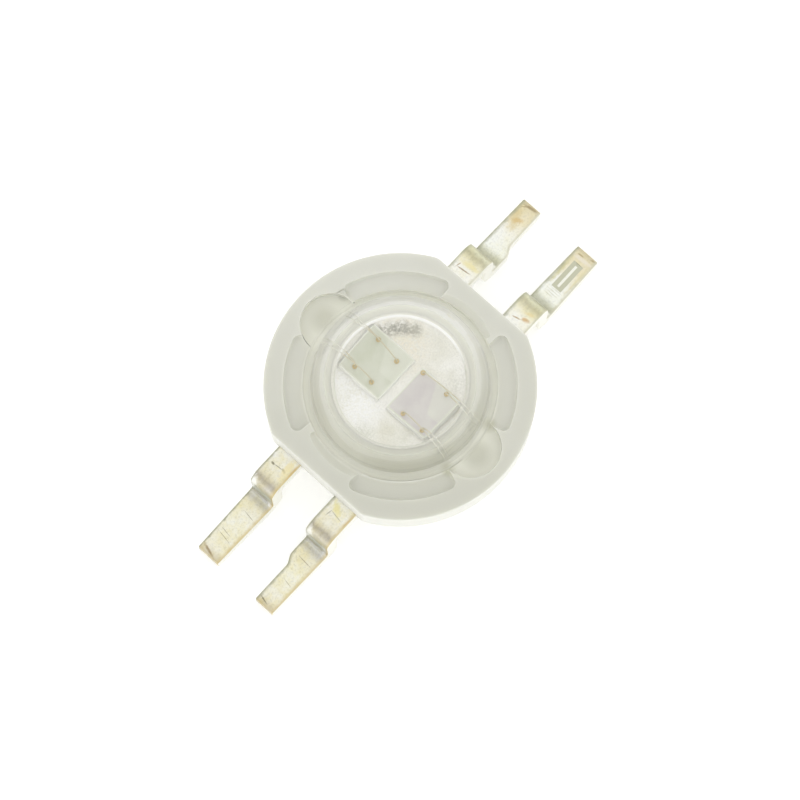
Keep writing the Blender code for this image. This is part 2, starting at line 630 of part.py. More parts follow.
def build_encapsulant():
    """The silicone gel: cast under the lens, round the chips, the wires and the cup."""
    gel = make_material("clear_silicone", (0.98, 0.98, 0.97), 0.02, transmission=1.0)
    gap = CLEARANCE
    half = math.pi / 2
    centre = (0.0, DOME_CENTRE)
    top_radius = HOLLOW_RADIUS - gap
    profile = [(0.0, DOME_CENTRE + top_radius)]
    profile += arc(centre, top_radius, half, 0.0, step=2 * ARC_STEP)[1:]
    profile += [
        (top_radius, LENS_SEAT - gap),
        (TROUGH_RADIUS - gap, LENS_SEAT - gap),
        (TROUGH_RADIUS - gap, LEAD_TOP + gap),
        (COLLAR_RADIUS + gap, LEAD_TOP + gap),
        (COLLAR_RADIUS + gap, COLLAR_TOP + gap),
        (SLUG_NECK_RADIUS + gap, COLLAR_TOP + gap),
        (SLUG_NECK_RADIUS + gap, SLUG_TOP + gap),
        (CUP_RIM_RADIUS - gap, SLUG_TOP + gap),
        (CUP_FLOOR_RADIUS - gap, CUP_FLOOR + gap),
        (0.0, CUP_FLOOR + gap),
    ]
    encapsulant = turned("encapsulant", profile, PARTS)
    for number, side in ((1, 1), (2, -1)):
        y = side * DIE_PITCH / 2
        across = DIE_SIDE + 2 * gap
        height = DIE_TOP + gap - SLUG_SHOULDER
        pocket = box("die_pocket_%d" % number, (across, across, height), (0.0, y, SLUG_SHOULDER + height / 2), CUTTERS)
        combine(encapsulant, "DIFFERENCE", pocket)
        across += 2 * ADHESIVE_MARGIN
        height = DIE_BOTTOM - SLUG_SHOULDER
        bed = box("bed_pocket_%d" % number, (across, across, height), (0.0, y, SLUG_SHOULDER + height / 2), CUTTERS)
        combine(encapsulant, "DIFFERENCE", bed)
    for number, points in bond_wires():
        first, factor = points[0]
        last, _ = points[-1]
        rooted = [(first - Vector((0.0, 0.0, 3 * gap)), factor)] + points[1:-1]
        rooted += [(last, 1.0), (last + (last - points[-2][0]), 1.0)]
        tunnel = wire_solid("wire_tunnel_%d" % number, rooted, WIRE_RADIUS + gap, CUTTERS)
        combine(encapsulant, "DIFFERENCE", tunnel)
    finish_piece(encapsulant, gel)


build_housing()
build_slug()
build_leads()
build_chips()
build_wires()
build_lens()
build_encapsulant()
bpy.data.collections.remove(CUTTERS)
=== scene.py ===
"""The looks of a four-lead power LED emitter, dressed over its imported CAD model.

The sections follow the order in which the emitter is put together. Sizes are in
millimetres, and each piece is made metres when it is finished.
"""
import math

import bmesh
import bpy
from mathutils import Matrix, Vector


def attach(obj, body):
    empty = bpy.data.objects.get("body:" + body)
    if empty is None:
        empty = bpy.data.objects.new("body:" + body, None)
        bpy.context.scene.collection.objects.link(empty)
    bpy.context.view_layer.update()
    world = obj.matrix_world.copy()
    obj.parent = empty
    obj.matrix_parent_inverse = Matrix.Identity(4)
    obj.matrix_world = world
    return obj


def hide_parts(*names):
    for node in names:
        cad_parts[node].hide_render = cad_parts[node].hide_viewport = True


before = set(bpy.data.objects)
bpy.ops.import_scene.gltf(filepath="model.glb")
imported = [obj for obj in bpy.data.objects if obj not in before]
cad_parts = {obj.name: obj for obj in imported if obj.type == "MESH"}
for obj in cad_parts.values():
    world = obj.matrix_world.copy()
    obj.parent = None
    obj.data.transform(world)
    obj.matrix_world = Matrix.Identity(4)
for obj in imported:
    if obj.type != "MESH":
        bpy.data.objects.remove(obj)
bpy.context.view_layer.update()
MM = 0.001


# ---------------------------------------------------------------- camera
# The photograph was taken from almost straight above, from about 84 mm away, with the
# leads running from the lower left to the upper right of the picture.
AZIMUTH = math.radians(-47.69)
ELEVATION = math.radians(77.67)
DISTANCE = 84 * MM
PIXELS_PER_MM = 33.21

away = Vector((
    math.sin(AZIMUTH) * math.cos(ELEVATION),
    -math.cos(AZIMUTH) * math.cos(ELEVATION),
    math.sin(ELEVATION),
))
camera_data = bpy.data.cameras.new("photo_camera")
camera_data.sensor_width = 36.0
camera_data.lens = PIXELS_PER_MM * DISTANCE / MM * camera_data.sensor_width / 800
camera_data.shift_x = -0.31 / 800
camera_data.shift_y = 5.77 / 800
camera_data.clip_start = 0.001
camera_data.clip_end = 2.0
camera = bpy.data.objects.new("photo_camera", camera_data)
camera.location = away * DISTANCE
camera.rotation_euler = away.to_track_quat("Z", "Y").to_euler()
bpy.context.scene.collection.objects.link(camera)
bpy.context.scene.camera = camera


# ---------------------------------------------------------------- table and light
# A faintly glowing white table in a white tent: the light comes evenly from all round, a
# little more of it from low down, so walls come out a little lighter than upward faces.
ZENITH_LIGHT = 0.86
HORIZON_LIGHT = 1.34
TABLE_GLOW = 0.30
TABLE_SIZE = 0.6


def linear(hex_colour):
    """An sRGB colour such as "d4d3cb" as linear red, green, blue and alpha."""
    channels = []
    for start in (0, 2, 4):
        value = int(hex_colour[start:start + 2], 16) / 255
        channels.append(value / 12.92 if value <= 0.04045 else ((value + 0.055) / 1.055) ** 2.4)
    return (*channels, 1.0)


def add_node(tree, kind, inputs=None, **settings):
    """Adds a node. Inputs are numbers, colours or other nodes' outputs, by name or number."""
    node = tree.nodes.new(kind)
    for name, value in settings.items():
        setattr(node, name, value)
    for name, value in (inputs or {}).items():
        if isinstance(value, bpy.types.NodeSocket):
            tree.links.new(value, node.inputs[name])
        else:
            node.inputs[name].default_value = value
    return node


def new_material(name):
    """An empty material tree, with its output node."""
    material = bpy.data.materials.new(name)
    material.use_nodes = True
    material.node_tree.nodes.clear()
    output = add_node(material.node_tree, "ShaderNodeOutputMaterial")
    return material, material.node_tree, output


world = bpy.data.worlds.new("white_tent")
bpy.context.scene.world = world
world.use_nodes = True
tree = world.node_tree
tree.nodes.clear()
direction = add_node(tree, "ShaderNodeTexCoord").outputs["Generated"]
height = add_node(tree, "ShaderNodeSeparateXYZ", {0: direction}).outputs["Z"]
level = add_node(tree, "ShaderNodeMapRange", {
    "Value": height, "From Min": 0.0, "From Max": 1.0,
    "To Min": HORIZON_LIGHT, "To Max": ZENITH_LIGHT,
}).outputs["Result"]
tent_light = add_node(tree, "ShaderNodeBackground", {"Color": (1, 1, 1, 1), "Strength": level})
white = add_node(tree, "ShaderNodeBackground", {"Color": (1, 1, 1, 1), "Strength": 1.0})
path = add_node(tree, "ShaderNodeLightPath")
seen = add_node(tree, "ShaderNodeMath", {
    0: path.outputs["Is Camera Ray"], 1: path.outputs["Is Glossy Ray"]}, operation="MAXIMUM")
seen = add_node(tree, "ShaderNodeMath", {
    0: seen.outputs[0], 1: path.outputs["Is Transmission Ray"]}, operation="MAXIMUM")
backdrop = add_node(tree, "ShaderNodeMixShader",
    {0: seen.outputs[0], 1: tent_light.outputs[0], 2: white.outputs[0]})
add_node(tree, "ShaderNodeOutputWorld", {"Surface": backdrop.outputs[0]})

table_mesh = bpy.data.meshes.new("table")
half = TABLE_SIZE / 2
drop = -0.004 * MM
table_corners = [(-half, -half, drop), (half, -half, drop), (half, half, drop), (-half, half, drop)]
table_mesh.from_pydata(table_corners, [], [(0, 1, 2, 3)])
table = bpy.data.objects.new("table", table_mesh)
bpy.context.scene.collection.objects.link(table)
white_acrylic, tree, output = new_material("white_acrylic_table")
acrylic = add_node(tree, "ShaderNodeBsdfDiffuse", {"Color": linear("f6f6f6")})
glow = add_node(tree, "ShaderNodeEmission", {"Color": (1, 1, 1, 1), "Strength": TABLE_GLOW})
lit_table = add_node(tree, "ShaderNodeAddShader", {0: acrylic.outputs[0], 1: glow.outputs[0]})
tree.links.new(lit_table.outputs[0], output.inputs["Surface"])
table_mesh.materials.append(white_acrylic)

scene = bpy.context.scene
scene.view_settings.view_transform = "Standard"


# ---------------------------------------------------------------- heat slug
# A slug turned from copper bar and silver plated, with the chips' cup in its top and a wide
# foot that is soldered to the board. The cup is polished, so it is the emitter's reflector.
CUP_FLOOR = 2.52
CUP_FLOOR_RADIUS = 1.362
CUP_CHAMFER_RADIUS = 1.380
CUP_CHAMFER = 2.765
CUP_RIM_RADIUS = 1.453
NECK_RADIUS = 1.502
SLUG_TOP = 2.85
SLUG_SHOULDER = 1.22
SLUG_RADIUS = 2.352
SLUG_BASE_RADIUS = 2.802
SLUG_BASE_TOP = 0.62


def rounded(corners, step=15.0):
    """A line through corners of (across, up, radius), with each corner rounded by its radius."""
    points = []
    for index, (x, y, radius) in enumerate(corners):
        corner = Vector((x, y))
        if radius == 0 or index in (0, len(corners) - 1):
            points.append((x, y))
            continue
        before = (Vector(corners[index - 1][:2]) - corner).normalized()
        after = (Vector(corners[index + 1][:2]) - corner).normalized()
        opening = before.angle(after)
        reach = radius / math.tan(opening / 2)
        centre = corner + (before + after).normalized() * radius / math.sin(opening / 2)
        start = corner + before * reach - centre
        turn = start.angle_signed(corner + after * reach - centre)
        count = max(2, math.ceil(abs(math.degrees(turn)) / step))
        for number in range(count + 1):
            angle = -turn * number / count
            points.append((
                centre.x + start.x * math.cos(angle) - start.y * math.sin(angle),
                centre.y + start.x * math.sin(angle) + start.y * math.cos(angle),
            ))
    return points


def turning_rule():
    """Geometry Nodes that turn a profile of edges in XZ about Z, as a lathe does."""
    tree = bpy.data.node_groups.new("turned_profile", "GeometryNodeTree")
    sockets = tree.interface
    sockets.new_socket("Profile", in_out="INPUT", socket_type="NodeSocketGeometry")
    sockets.new_socket("Steps", in_out="INPUT", socket_type="NodeSocketInt")
    sockets.new_socket("Weld Distance", in_out="INPUT", socket_type="NodeSocketFloat")
    sockets.new_socket("Finish", in_out="INPUT", socket_type="NodeSocketMaterial")
    sockets.new_socket("Geometry", in_out="OUTPUT", socket_type="NodeSocketGeometry")
    given = add_node(tree, "NodeGroupInput").outputs
    corners = add_node(tree, "GeometryNodeAttributeDomainSize",
        {0: given["Profile"]}).outputs["Point Count"]
    rows = add_node(tree, "ShaderNodeMath", {0: given["Steps"], 1: 1.0}, operation="ADD").outputs[0]
    net = add_node(tree, "GeometryNodeMeshGrid", {
        "Size X": 1.0, "Size Y": 1.0, "Vertices X": corners, "Vertices Y": rows})
    index = add_node(tree, "GeometryNodeInputIndex").outputs[0]
    share = add_node(tree, "ShaderNodeMath", {0: index, 1: rows}, operation="DIVIDE").outputs[0]
    corner = add_node(tree, "ShaderNodeMath", {0: share}, operation="FLOOR").outputs[0]
    row = add_node(tree, "ShaderNodeMath", {0: index, 1: rows}, operation="MODULO").outputs[0]
    turn = add_node(tree, "ShaderNodeMath", {0: row, 1: given["Steps"]}, operation="DIVIDE").outputs[0]
    turn = add_node(tree, "ShaderNodeMath", {0: turn, 1: 2 * math.pi}, operation="MULTIPLY").outputs[0]
    place = add_node(tree, "GeometryNodeInputPosition").outputs[0]
    point = add_node(tree, "GeometryNodeSampleIndex", data_type="FLOAT_VECTOR", domain="POINT")
    tree.links.new(given["Profile"], point.inputs["Geometry"])
    tree.links.new(place, point.inputs["Value"])
    tree.links.new(corner, point.inputs["Index"])
    spun = add_node(tree, "ShaderNodeVectorRotate", {
        "Vector": point.outputs[0], "Angle": turn}, rotation_type="Z_AXIS").outputs[0]
    moved = add_node(tree, "GeometryNodeSetPosition",
        {"Geometry": net.outputs["Mesh"], "Position": spun})
    welded = add_node(tree, "GeometryNodeMergeByDistance", {
        "Geometry": moved.outputs[0], "Distance": given["Weld Distance"]})
    real = add_node(tree, "GeometryNodeRealizeInstances", {"Geometry": welded.outputs[0]})
    finished = add_node(tree, "GeometryNodeSetMaterial", {
        "Geometry": real.outputs[0], "Material": given["Finish"]})
    add_node(tree, "NodeGroupOutput", {"Geometry": finished.outputs[0]})
    return tree


def plain_mesh(piece, rule=None, **given):
    """Runs a piece's modifiers, with a Geometry Nodes rule first, and keeps only the mesh."""
    if rule:
        modifier = piece.modifiers.new(rule.name, "NODES")
        modifier.node_group = rule
        for socket in rule.interface.items_tree:
            if socket.item_type == "SOCKET" and socket.in_out == "INPUT" and socket.name in given:
                modifier[socket.identifier] = given[socket.name]
    bpy.context.view_layer.update()
    evaluated = piece.evaluated_get(bpy.context.evaluated_depsgraph_get())
    mesh = bpy.data.meshes.new_from_object(evaluated)
    mesh.name = piece.name
    piece.modifiers.clear()
    piece.data = mesh
    return piece


def smooth(piece, sharp_from=35.0):
    piece.data.shade_smooth()
    piece.data.set_sharp_from_angle(angle=math.radians(sharp_from))


def to_metres(piece):
    """Solids are drawn and combined in millimetres, and made metres when they are finished."""
    piece.data.transform(Matrix.Scale(MM, 4))


TURNING = turning_rule()


def turned(name, profile, finish=None, steps=192):
    """A solid turned from a profile, from the axis down the outside to the axis, in millimetres."""
    mesh = bpy.data.meshes.new(name)
    edges = [(index, index + 1) for index in range(len(profile) - 1)]
    mesh.from_pydata([(x, 0.0, z) for x, z in profile], edges, [])
    piece = bpy.data.objects.new(name, mesh)
    bpy.context.scene.collection.objects.link(piece)
    given = {"Steps": steps, "Weld Distance": 0.0004}
    if finish:
        given["Finish"] = finish
    plain_mesh(piece, TURNING, **given)
    smooth(piece)
    return piece


# Silver plate over turned copper: it gives a warm white mirror, with fine grains in the plate,
# faint rings from the lathe, and a grey film where it has tarnished. Painted light is drawn in
# too: white painted highlights and a grey painted reflection on the cup's floor, and on the
# cup's wall a white, matte painted highlight on one side and painted shade on the other.
silver_plate, tree, output = new_material("silver_plate_on_turned_copper")
place = add_node(tree, "ShaderNodeTexCoord").outputs["Object"]
GRAINS_PER_METRE = 1 / (0.035 * MM)
grains = add_node(tree, "ShaderNodeTexNoise", {
    "Vector": place, "Scale": GRAINS_PER_METRE, "Detail": 3.0, "Roughness": 0.6}).outputs["Fac"]
film = add_node(tree, "ShaderNodeTexNoise", {
    "Vector": place, "Scale": 1 / (0.9 * MM), "Detail": 4.0, "Roughness": 0.55}).outputs["Fac"]
film = add_node(tree, "ShaderNodeMapRange", {
    "Value": film, "From Min": 0.42, "From Max": 0.68}).outputs["Result"]
tone = add_node(tree, "ShaderNodeMix", {
    "Factor": film, 6: linear("f8f7f1"), 7: linear("e6e4d6")}, data_type="RGBA").outputs[2]
parts = add_node(tree, "ShaderNodeSeparateXYZ", {0: place}).outputs
flat_place = add_node(tree, "ShaderNodeCombineXYZ", {"X": parts["X"], "Y": parts["Y"]}).outputs[0]
from_axis = add_node(tree, "ShaderNodeVectorMath", {0: flat_place}, operation="LENGTH").outputs["Value"]
# Patches on the cup's floor: the white ones are painted highlights, the grey ones near the far
# wall a painted reflection, the rest lighter and darker tone. Middle, reach and softness in
# millimetres, then tone and strength
CUP_FLOOR_TONES_AND_PAINTED_REFLECTION = (
    ((-0.85, 0.38), 0.62, 0.8, "ffffff", 0.95),
    ((-0.70, 0.98), 0.35, 0.8, "ffffff", 0.8),
    ((0.62, 0.62), 0.75, 0.7, "f3ecd9", 0.7),
    ((0.53, 1.03), 0.19, 0.7, "7f7f74", 0.66),
    ((0.72, 0.88), 0.20, 0.7, "7f7f74", 0.66),
    ((0.88, 0.74), 0.20, 0.7, "7f7f74", 0.66),
    ((1.01, 0.54), 0.18, 0.7, "8f8f80", 0.60),
    ((0.88, -0.92), 0.50, 0.8, "d3d2c6", 0.5),
    ((-1.24, -0.10), 0.32, 0.8, "d9dacb", 0.7),
    ((-0.75, -0.80), 0.40, 0.9, "d8d9c9", 0.4),
)
ragged = add_node(tree, "ShaderNodeTexNoise", {
    "Vector": place, "Scale": 1 / (0.05 * MM), "Detail": 3.0, "Roughness": 0.7}).outputs["Fac"]
ragged = add_node(tree, "ShaderNodeMapRange", {
    "Value": ragged, "From Min": 0.35, "From Max": 0.61}).outputs["Result"]
for (x, y), reach, soft, colour, strength in CUP_FLOOR_TONES_AND_PAINTED_REFLECTION:
    off = add_node(tree, "ShaderNodeVectorMath", {0: flat_place, 1: (x * MM, y * MM, 0)},
        operation="DISTANCE")
    near = add_node(tree, "ShaderNodeMapRange", {
        "Value": off.outputs["Value"], "From Min": reach * (1 - soft) * MM, "From Max": reach * MM,
        "To Min": 1.5, "To Max": 0.0}).outputs["Result"]
    near = add_node(tree, "ShaderNodeMath", {0: near, 1: ragged}, operation="MULTIPLY",
        use_clamp=True).outputs[0]
    near = add_node(tree, "ShaderNodeMath", {0: near, 1: strength}, operation="MULTIPLY").outputs[0]
    tone = add_node(tree, "ShaderNodeMix", {
        "Factor": near, 6: tone, 7: linear(colour)}, data_type="RGBA").outputs[2]
# Painted light on the cup's wall: towards +X and +Y it is drawn white, less grained and less metallic as a
# painted highlight, and on the other side greyer as painted shade. Outside the cup's rim the slug is drawn in a
# darker tone.
wall = add_node(tree, "ShaderNodeMapRange", {
    "Value": from_axis, "From Min": 1.32 * MM, "From Max": 1.40 * MM}).outputs["Result"]
rim = add_node(tree, "ShaderNodeMapRange", {
    "Value": from_axis, "From Min": 1.450 * MM, "From Max": 1.456 * MM}).outputs["Result"]
painted_highlight_side = add_node(tree, "ShaderNodeVectorMath", {0: place, 1: (0.74, 0.67, 0.0)},
    operation="DOT_PRODUCT")
painted_highlight_side = add_node(tree, "ShaderNodeMapRange", {
    "Value": painted_highlight_side.outputs["Value"], "From Min": 0.3 * MM, "From Max": 0.9 * MM}).outputs["Result"]
wall_painted_light_tone = add_node(tree, "ShaderNodeMix", {
    "Factor": painted_highlight_side, 6: linear("dcdcd0"), 7: linear("ffffff")}, data_type="RGBA").outputs[2]
wall_painted_light_tone = add_node(tree, "ShaderNodeMix", {
    "Factor": rim, 6: wall_painted_light_tone, 7: linear("dcdbd0")}, data_type="RGBA").outputs[2]
tone = add_node(tree, "ShaderNodeMix", {
    "Factor": wall, 6: tone, 7: wall_painted_light_tone}, data_type="RGBA").outputs[2]
painted_highlight_wall = add_node(tree, "ShaderNodeMath", {0: wall, 1: painted_highlight_side}, operation="MULTIPLY").outputs[0]
grained = add_node(tree, "ShaderNodeMapRange",
    {"Value": painted_highlight_wall, "To Min": 0.42, "To Max": 0.0}).outputs["Result"]
tone = add_node(tree, "ShaderNodeMix", {
    "Factor": grained, 6: tone, 7: add_node(tree, "ShaderNodeMapRange", {
        "Value": grains, "From Min": 0.3, "From Max": 0.6, "To Min": 0.7,
        "To Max": 1.0}).outputs["Result"],
}, data_type="RGBA", blend_type="MULTIPLY").outputs[2]
rings = add_node(tree, "ShaderNodeTexWave", {
    "Vector": place, "Scale": 1 / (0.45 * MM), "Distortion": 0.4, "Detail": 1.0},
    wave_type="RINGS", rings_direction="Z").outputs["Fac"]
relief = add_node(tree, "ShaderNodeBump", {
    "Height": rings, "Strength": 0.15, "Distance": 0.002 * MM}).outputs["Normal"]
relief = add_node(tree, "ShaderNodeBump", {
    "Height": grains, "Normal": relief, "Strength": 0.5, "Distance": 0.004 * MM}).outputs["Normal"]
shine = add_node(tree, "ShaderNodeMapRange",
    {"Value": wall, "To Min": 0.32, "To Max": 0.55}).outputs["Result"]
bare = add_node(tree, "ShaderNodeMapRange",
    {"Value": wall, "To Min": 1.0, "To Max": 0.25}).outputs["Result"]
bare = add_node(tree, "ShaderNodeMath", {0: bare, 1: painted_highlight_wall}, operation="SUBTRACT",
    use_clamp=True).outputs[0]
# Under the white painted highlights on the cup's floor the plate is made less metallic, so that they show their
# white tone.
painted_highlight_matte = add_node(tree, "ShaderNodeVectorMath", {
    0: flat_place, 1: (-0.78 * MM, 0.60 * MM, 0)}, operation="DISTANCE").outputs["Value"]
painted_highlight_matte = add_node(tree, "ShaderNodeMapRange", {
    "Value": painted_highlight_matte, "From Min": 0.40 * MM, "From Max": 0.85 * MM, "To Min": 1.0,
    "To Max": 0.0}).outputs["Result"]
bare = add_node(tree, "ShaderNodeMath", {0: bare, 1: painted_highlight_matte}, operation="SUBTRACT",
    use_clamp=True).outputs[0]
plate = add_node(tree, "ShaderNodeBsdfPrincipled", {
    "Base Color": tone, "Metallic": bare, "Roughness": shine, "Normal": relief})
tree.links.new(plate.outputs[0], output.inputs["Surface"])

slug = turned("silvered_heat_slug", rounded([
    (0.0, CUP_FLOOR, 0), (CUP_FLOOR_RADIUS, CUP_FLOOR, 0.04), (CUP_CHAMFER_RADIUS, CUP_CHAMFER, 0.01),
    (CUP_RIM_RADIUS, SLUG_TOP, 0.005), (NECK_RADIUS, SLUG_TOP, 0.01),
    (NECK_RADIUS, SLUG_SHOULDER, 0.04), (SLUG_RADIUS, SLUG_SHOULDER, 0.06),
    (SLUG_RADIUS, 1.03, 0.02), (2.152, 1.03, 0.02), (2.152, 0.81, 0.02), (SLUG_RADIUS, 0.81, 0.02),
    (SLUG_RADIUS, SLUG_BASE_TOP, 0.02), (SLUG_BASE_RADIUS, SLUG_BASE_TOP, 0.06),
    (SLUG_BASE_RADIUS, 0.0, 0.06), (0.0, 0.0, 0)]), silver_plate)
to_metres(slug)
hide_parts("heat_slug")
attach(slug, "root")


# ---------------------------------------------------------------- leads
# Four leads stamped from one silver-plated copper strip, 0.4 mm thick, and bent to gull
# wings. Punching rolls their upper edges over. Inside the body each ends in an arm that
# runs round the slug's neck, where the wires are stitched.
LEAD_TOP = 1.90
LEAD_THICKNESS = 0.40
LEAD_INNER_Y = 0.65
LEAD_OUTER_Y = 1.55
ARM_INNER_RADIUS = 1.80
ARM_OUTER_RADIUS = 2.402
ARM_END_X = 0.15
BODY_FLAT = 3.587
DROP_REACH = 4.862
TIP_REACH = 7.25
UPPER_BEND = 0.06
LOWER_BEND = 0.14
FOOT_TAPER = 0.04
SHOULDER_START = 0.64
SHOULDER_LENGTH = 0.42
SHOULDER_STEP = 0.15
ROLLED_EDGE = 0.045
BURR_EDGE = 0.015
MARK_START, MARK_END = 5.782, 6.822
MARK_DEPTH = 0.02
RIB_MARGIN = 0.10
MARK_WALL = 0.04
# Points across the strip's face, from its middle. The inner eight carry the coined mark.
FACE_POINTS = (-0.20, -0.17, -0.07, -0.04, 0.04, 0.07, 0.17, 0.20)
RIB_POINTS = (-0.04, 0.04)
LEAD_CORNERS = {1: (1, 1, True), 2: (1, -1, False), 3: (-1, 1, False), 4: (-1, -1, True)}


def lead_stations(narrow_foot):
    """Stations along a lead: its two edges at mid thickness, its upward normal, and the
    distance along it from the body's flat."""
    thick = LEAD_THICKNESS
    stations = []
    level = LEAD_TOP - thick / 2
    up = Vector((0, 0, 1))
    inner_start, inner_end = math.acos(ARM_END_X / ARM_INNER_RADIUS), math.asin(LEAD_INNER_Y / ARM_INNER_RADIUS)
    outer_start, outer_end = math.acos(ARM_END_X / ARM_OUTER_RADIUS), math.asin(LEAD_OUTER_Y / ARM_OUTER_RADIUS)
    count = 26
    for index in range(count):
        share = index / count
        inner = inner_start + (inner_end - inner_start) * share
        outer = outer_start + (outer_end - outer_start) * share
        stations.append((
            Vector((ARM_INNER_RADIUS * math.cos(inner), ARM_INNER_RADIUS * math.sin(inner), level)),
            Vector((ARM_OUTER_RADIUS * math.cos(outer), ARM_OUTER_RADIUS * math.sin(outer), level)),
            up, ARM_OUTER_RADIUS * math.cos(outer) - BODY_FLAT))
    bend_start = DROP_REACH - UPPER_BEND - thick
    inner_x = ARM_INNER_RADIUS * math.cos(inner_end)
    outer_x = ARM_OUTER_RADIUS * math.cos(outer_end)
    for index in range(25):
        share = index / 24
        x_in = inner_x + (bend_start - inner_x) * share
        x_out = outer_x + (bend_start - outer_x) * share
        stations.append((
            Vector((x_in, LEAD_INNER_Y, level)), Vector((x_out, LEAD_OUTER_Y, level)), up,
            x_out - BODY_FLAT))
    along = bend_start - BODY_FLAT
    bend = UPPER_BEND + thick / 2
    for index in range(1, 13):
        angle = math.pi / 2 * index / 12
        x = bend_start + bend * math.sin(angle)
        z = LEAD_TOP - UPPER_BEND - thick + bend * math.cos(angle)
        normal = Vector((math.sin(angle), 0, math.cos(angle)))
        stations.append((
            Vector((x, LEAD_INNER_Y, z)), Vector((x, LEAD_OUTER_Y, z)), normal, along + bend * angle))
    along += bend * math.pi / 2
    top, bottom = LEAD_TOP - UPPER_BEND - thick, thick + LOWER_BEND
    x = DROP_REACH - thick / 2
    for index in range(1, 9):
        z = top + (bottom - top) * index / 8
        stations.append((
            Vector((x, LEAD_INNER_Y, z)), Vector((x, LEAD_OUTER_Y, z)), Vector((1, 0, 0)),
            along + top - z))
    along += top - bottom
    bend = LOWER_BEND + thick / 2
    for index in range(1, 13):
        angle = math.pi / 2 * index / 12
        x = DROP_REACH + LOWER_BEND - bend * math.cos(angle)
        z = bottom - bend * math.sin(angle)
        normal = Vector((math.cos(angle), 0, math.sin(angle)))
        stations.append((
            Vector((x, LEAD_INNER_Y, z)), Vector((x, LEAD_OUTER_Y, z)), normal, along + bend * angle))
    along += bend * math.pi / 2
    foot_start = DROP_REACH + LOWER_BEND
    foot = TIP_REACH - foot_start
    places = [foot_start + foot * index / 40 for index in range(1, 41)]
    for wall in (MARK_START, MARK_START + RIB_MARGIN, MARK_END - RIB_MARGIN - MARK_WALL,
            MARK_END - MARK_WALL):
        places += [wall, wall + MARK_WALL]
    for x in sorted(places):
        out = x - foot_start
        taper = FOOT_TAPER * out / foot
        step = 0.0
        if narrow_foot:
            share = min(max((x - DROP_REACH - SHOULDER_START) / SHOULDER_LENGTH, 0.0), 1.0)
            step = SHOULDER_STEP * (1 - math.cos(math.pi * share)) / 2
        inner_y = LEAD_INNER_Y + (step if narrow_foot else taper)
        stations.append((
            Vector((x, inner_y, thick / 2)), Vector((x, LEAD_OUTER_Y - taper, thick / 2)), up,
            along + out))
    return stations


def lead_section(inner, outer, normal, shrink, coined=False):
    """The strip's outline at one station, with its rolled upper and crisp lower edges, and
    the coined mark pressed into its face where the station lies in it."""
    across = (outer - inner).normalized()
    width = (outer - inner).length
    half = LEAD_THICKNESS / 2
    outline = []
    corners = ((0, 1, ROLLED_EDGE, 180), (1, 1, ROLLED_EDGE, 90), (1, -1, BURR_EDGE, 0),
        (0, -1, BURR_EDGE, -90))
    for side, face, radius, start in corners:
        centre_across = radius if side == 0 else width - radius
        centre_up = face * (half - radius)
        round_off = max(radius - shrink, 0.001)
        for index in range(5):
            angle = math.radians(start - 90 * index / 4)
            outline.append((centre_across + round_off * math.cos(angle),
                centre_up + round_off * math.sin(angle)))
        if face == 1 and side == 0:
            x = inner.x
            in_mark = coined and MARK_START + MARK_WALL / 2 < x < MARK_END - MARK_WALL / 2
            in_rib = MARK_START + RIB_MARGIN + MARK_WALL / 2 < x < MARK_END - RIB_MARGIN - MARK_WALL / 2
            for point in FACE_POINTS:
                pressed = in_mark and abs(point) < 0.185 and not (in_rib and point in RIB_POINTS)
                outline.append((width / 2 + point, half - shrink - (MARK_DEPTH if pressed else 0.0)))
        if face == -1 and side == 1:
            outline += [(width * share, shrink - half) for share in (0.75, 0.5, 0.25)]
    return [(inner + across * a + normal * b, a, width) for a, b in outline]


def build_lead(name, side_x, side_y, narrow_foot, coined, finish):
    """A lead lofted through its stations, with its tip rounded and both ends closed. Its UV maps
    are in millimetres: strip runs along and across it, border holds the way to its two edges."""
    stations = lead_stations(narrow_foot)
    tip_in, tip_out, normal, along = stations[-1]
    sections = [(*station, 0.0) for station in stations[:-1]]
    for index in range(1, 5):
        angle = math.pi / 2 * index / 4
        back = ROLLED_EDGE * (1 - math.sin(angle))
        inward = Vector((back, 0, 0))
        sections.append((tip_in - inward, tip_out - inward, normal, along - back,
            ROLLED_EDGE * (1 - math.cos(angle))))
    form = bmesh.new()
    strip_place = form.loops.layers.uv.new("strip")
    border_place = form.loops.layers.uv.new("border")
    rings, places, borders = [], {}, {}
    turned_over = side_x * side_y < 0
    for inner, outer, normal, along, shrink in sections:
        ring = []
        for point, across, width in lead_section(inner, outer, normal, shrink, coined):
            vertex = form.verts.new((side_x * point.x * MM, side_y * point.y * MM, point.z * MM))
            across = width - across if turned_over else across
            places[vertex] = (along, across - width / 2)
            borders[vertex] = (across, width - across)
            ring.append(vertex)
        rings.append(ring)
    for first, second in zip(rings, rings[1:]):
        for index in range(len(first)):
            after = (index + 1) % len(first)
            form.faces.new((first[index], first[after], second[after], second[index]))
    form.faces.new(rings[0])
    form.faces.new(reversed(rings[-1]))
    bmesh.ops.recalc_face_normals(form, faces=form.faces)
    for face in form.faces:
        for loop in face.loops:
            loop[strip_place].uv = places[loop.vert]
            loop[border_place].uv = borders[loop.vert]
    mesh = bpy.data.meshes.new(name)
    form.to_mesh(mesh)
    form.free()
    mesh.materials.append(finish)
    lead = bpy.data.objects.new(name, mesh)
    bpy.context.scene.collection.objects.link(lead)
    return lead


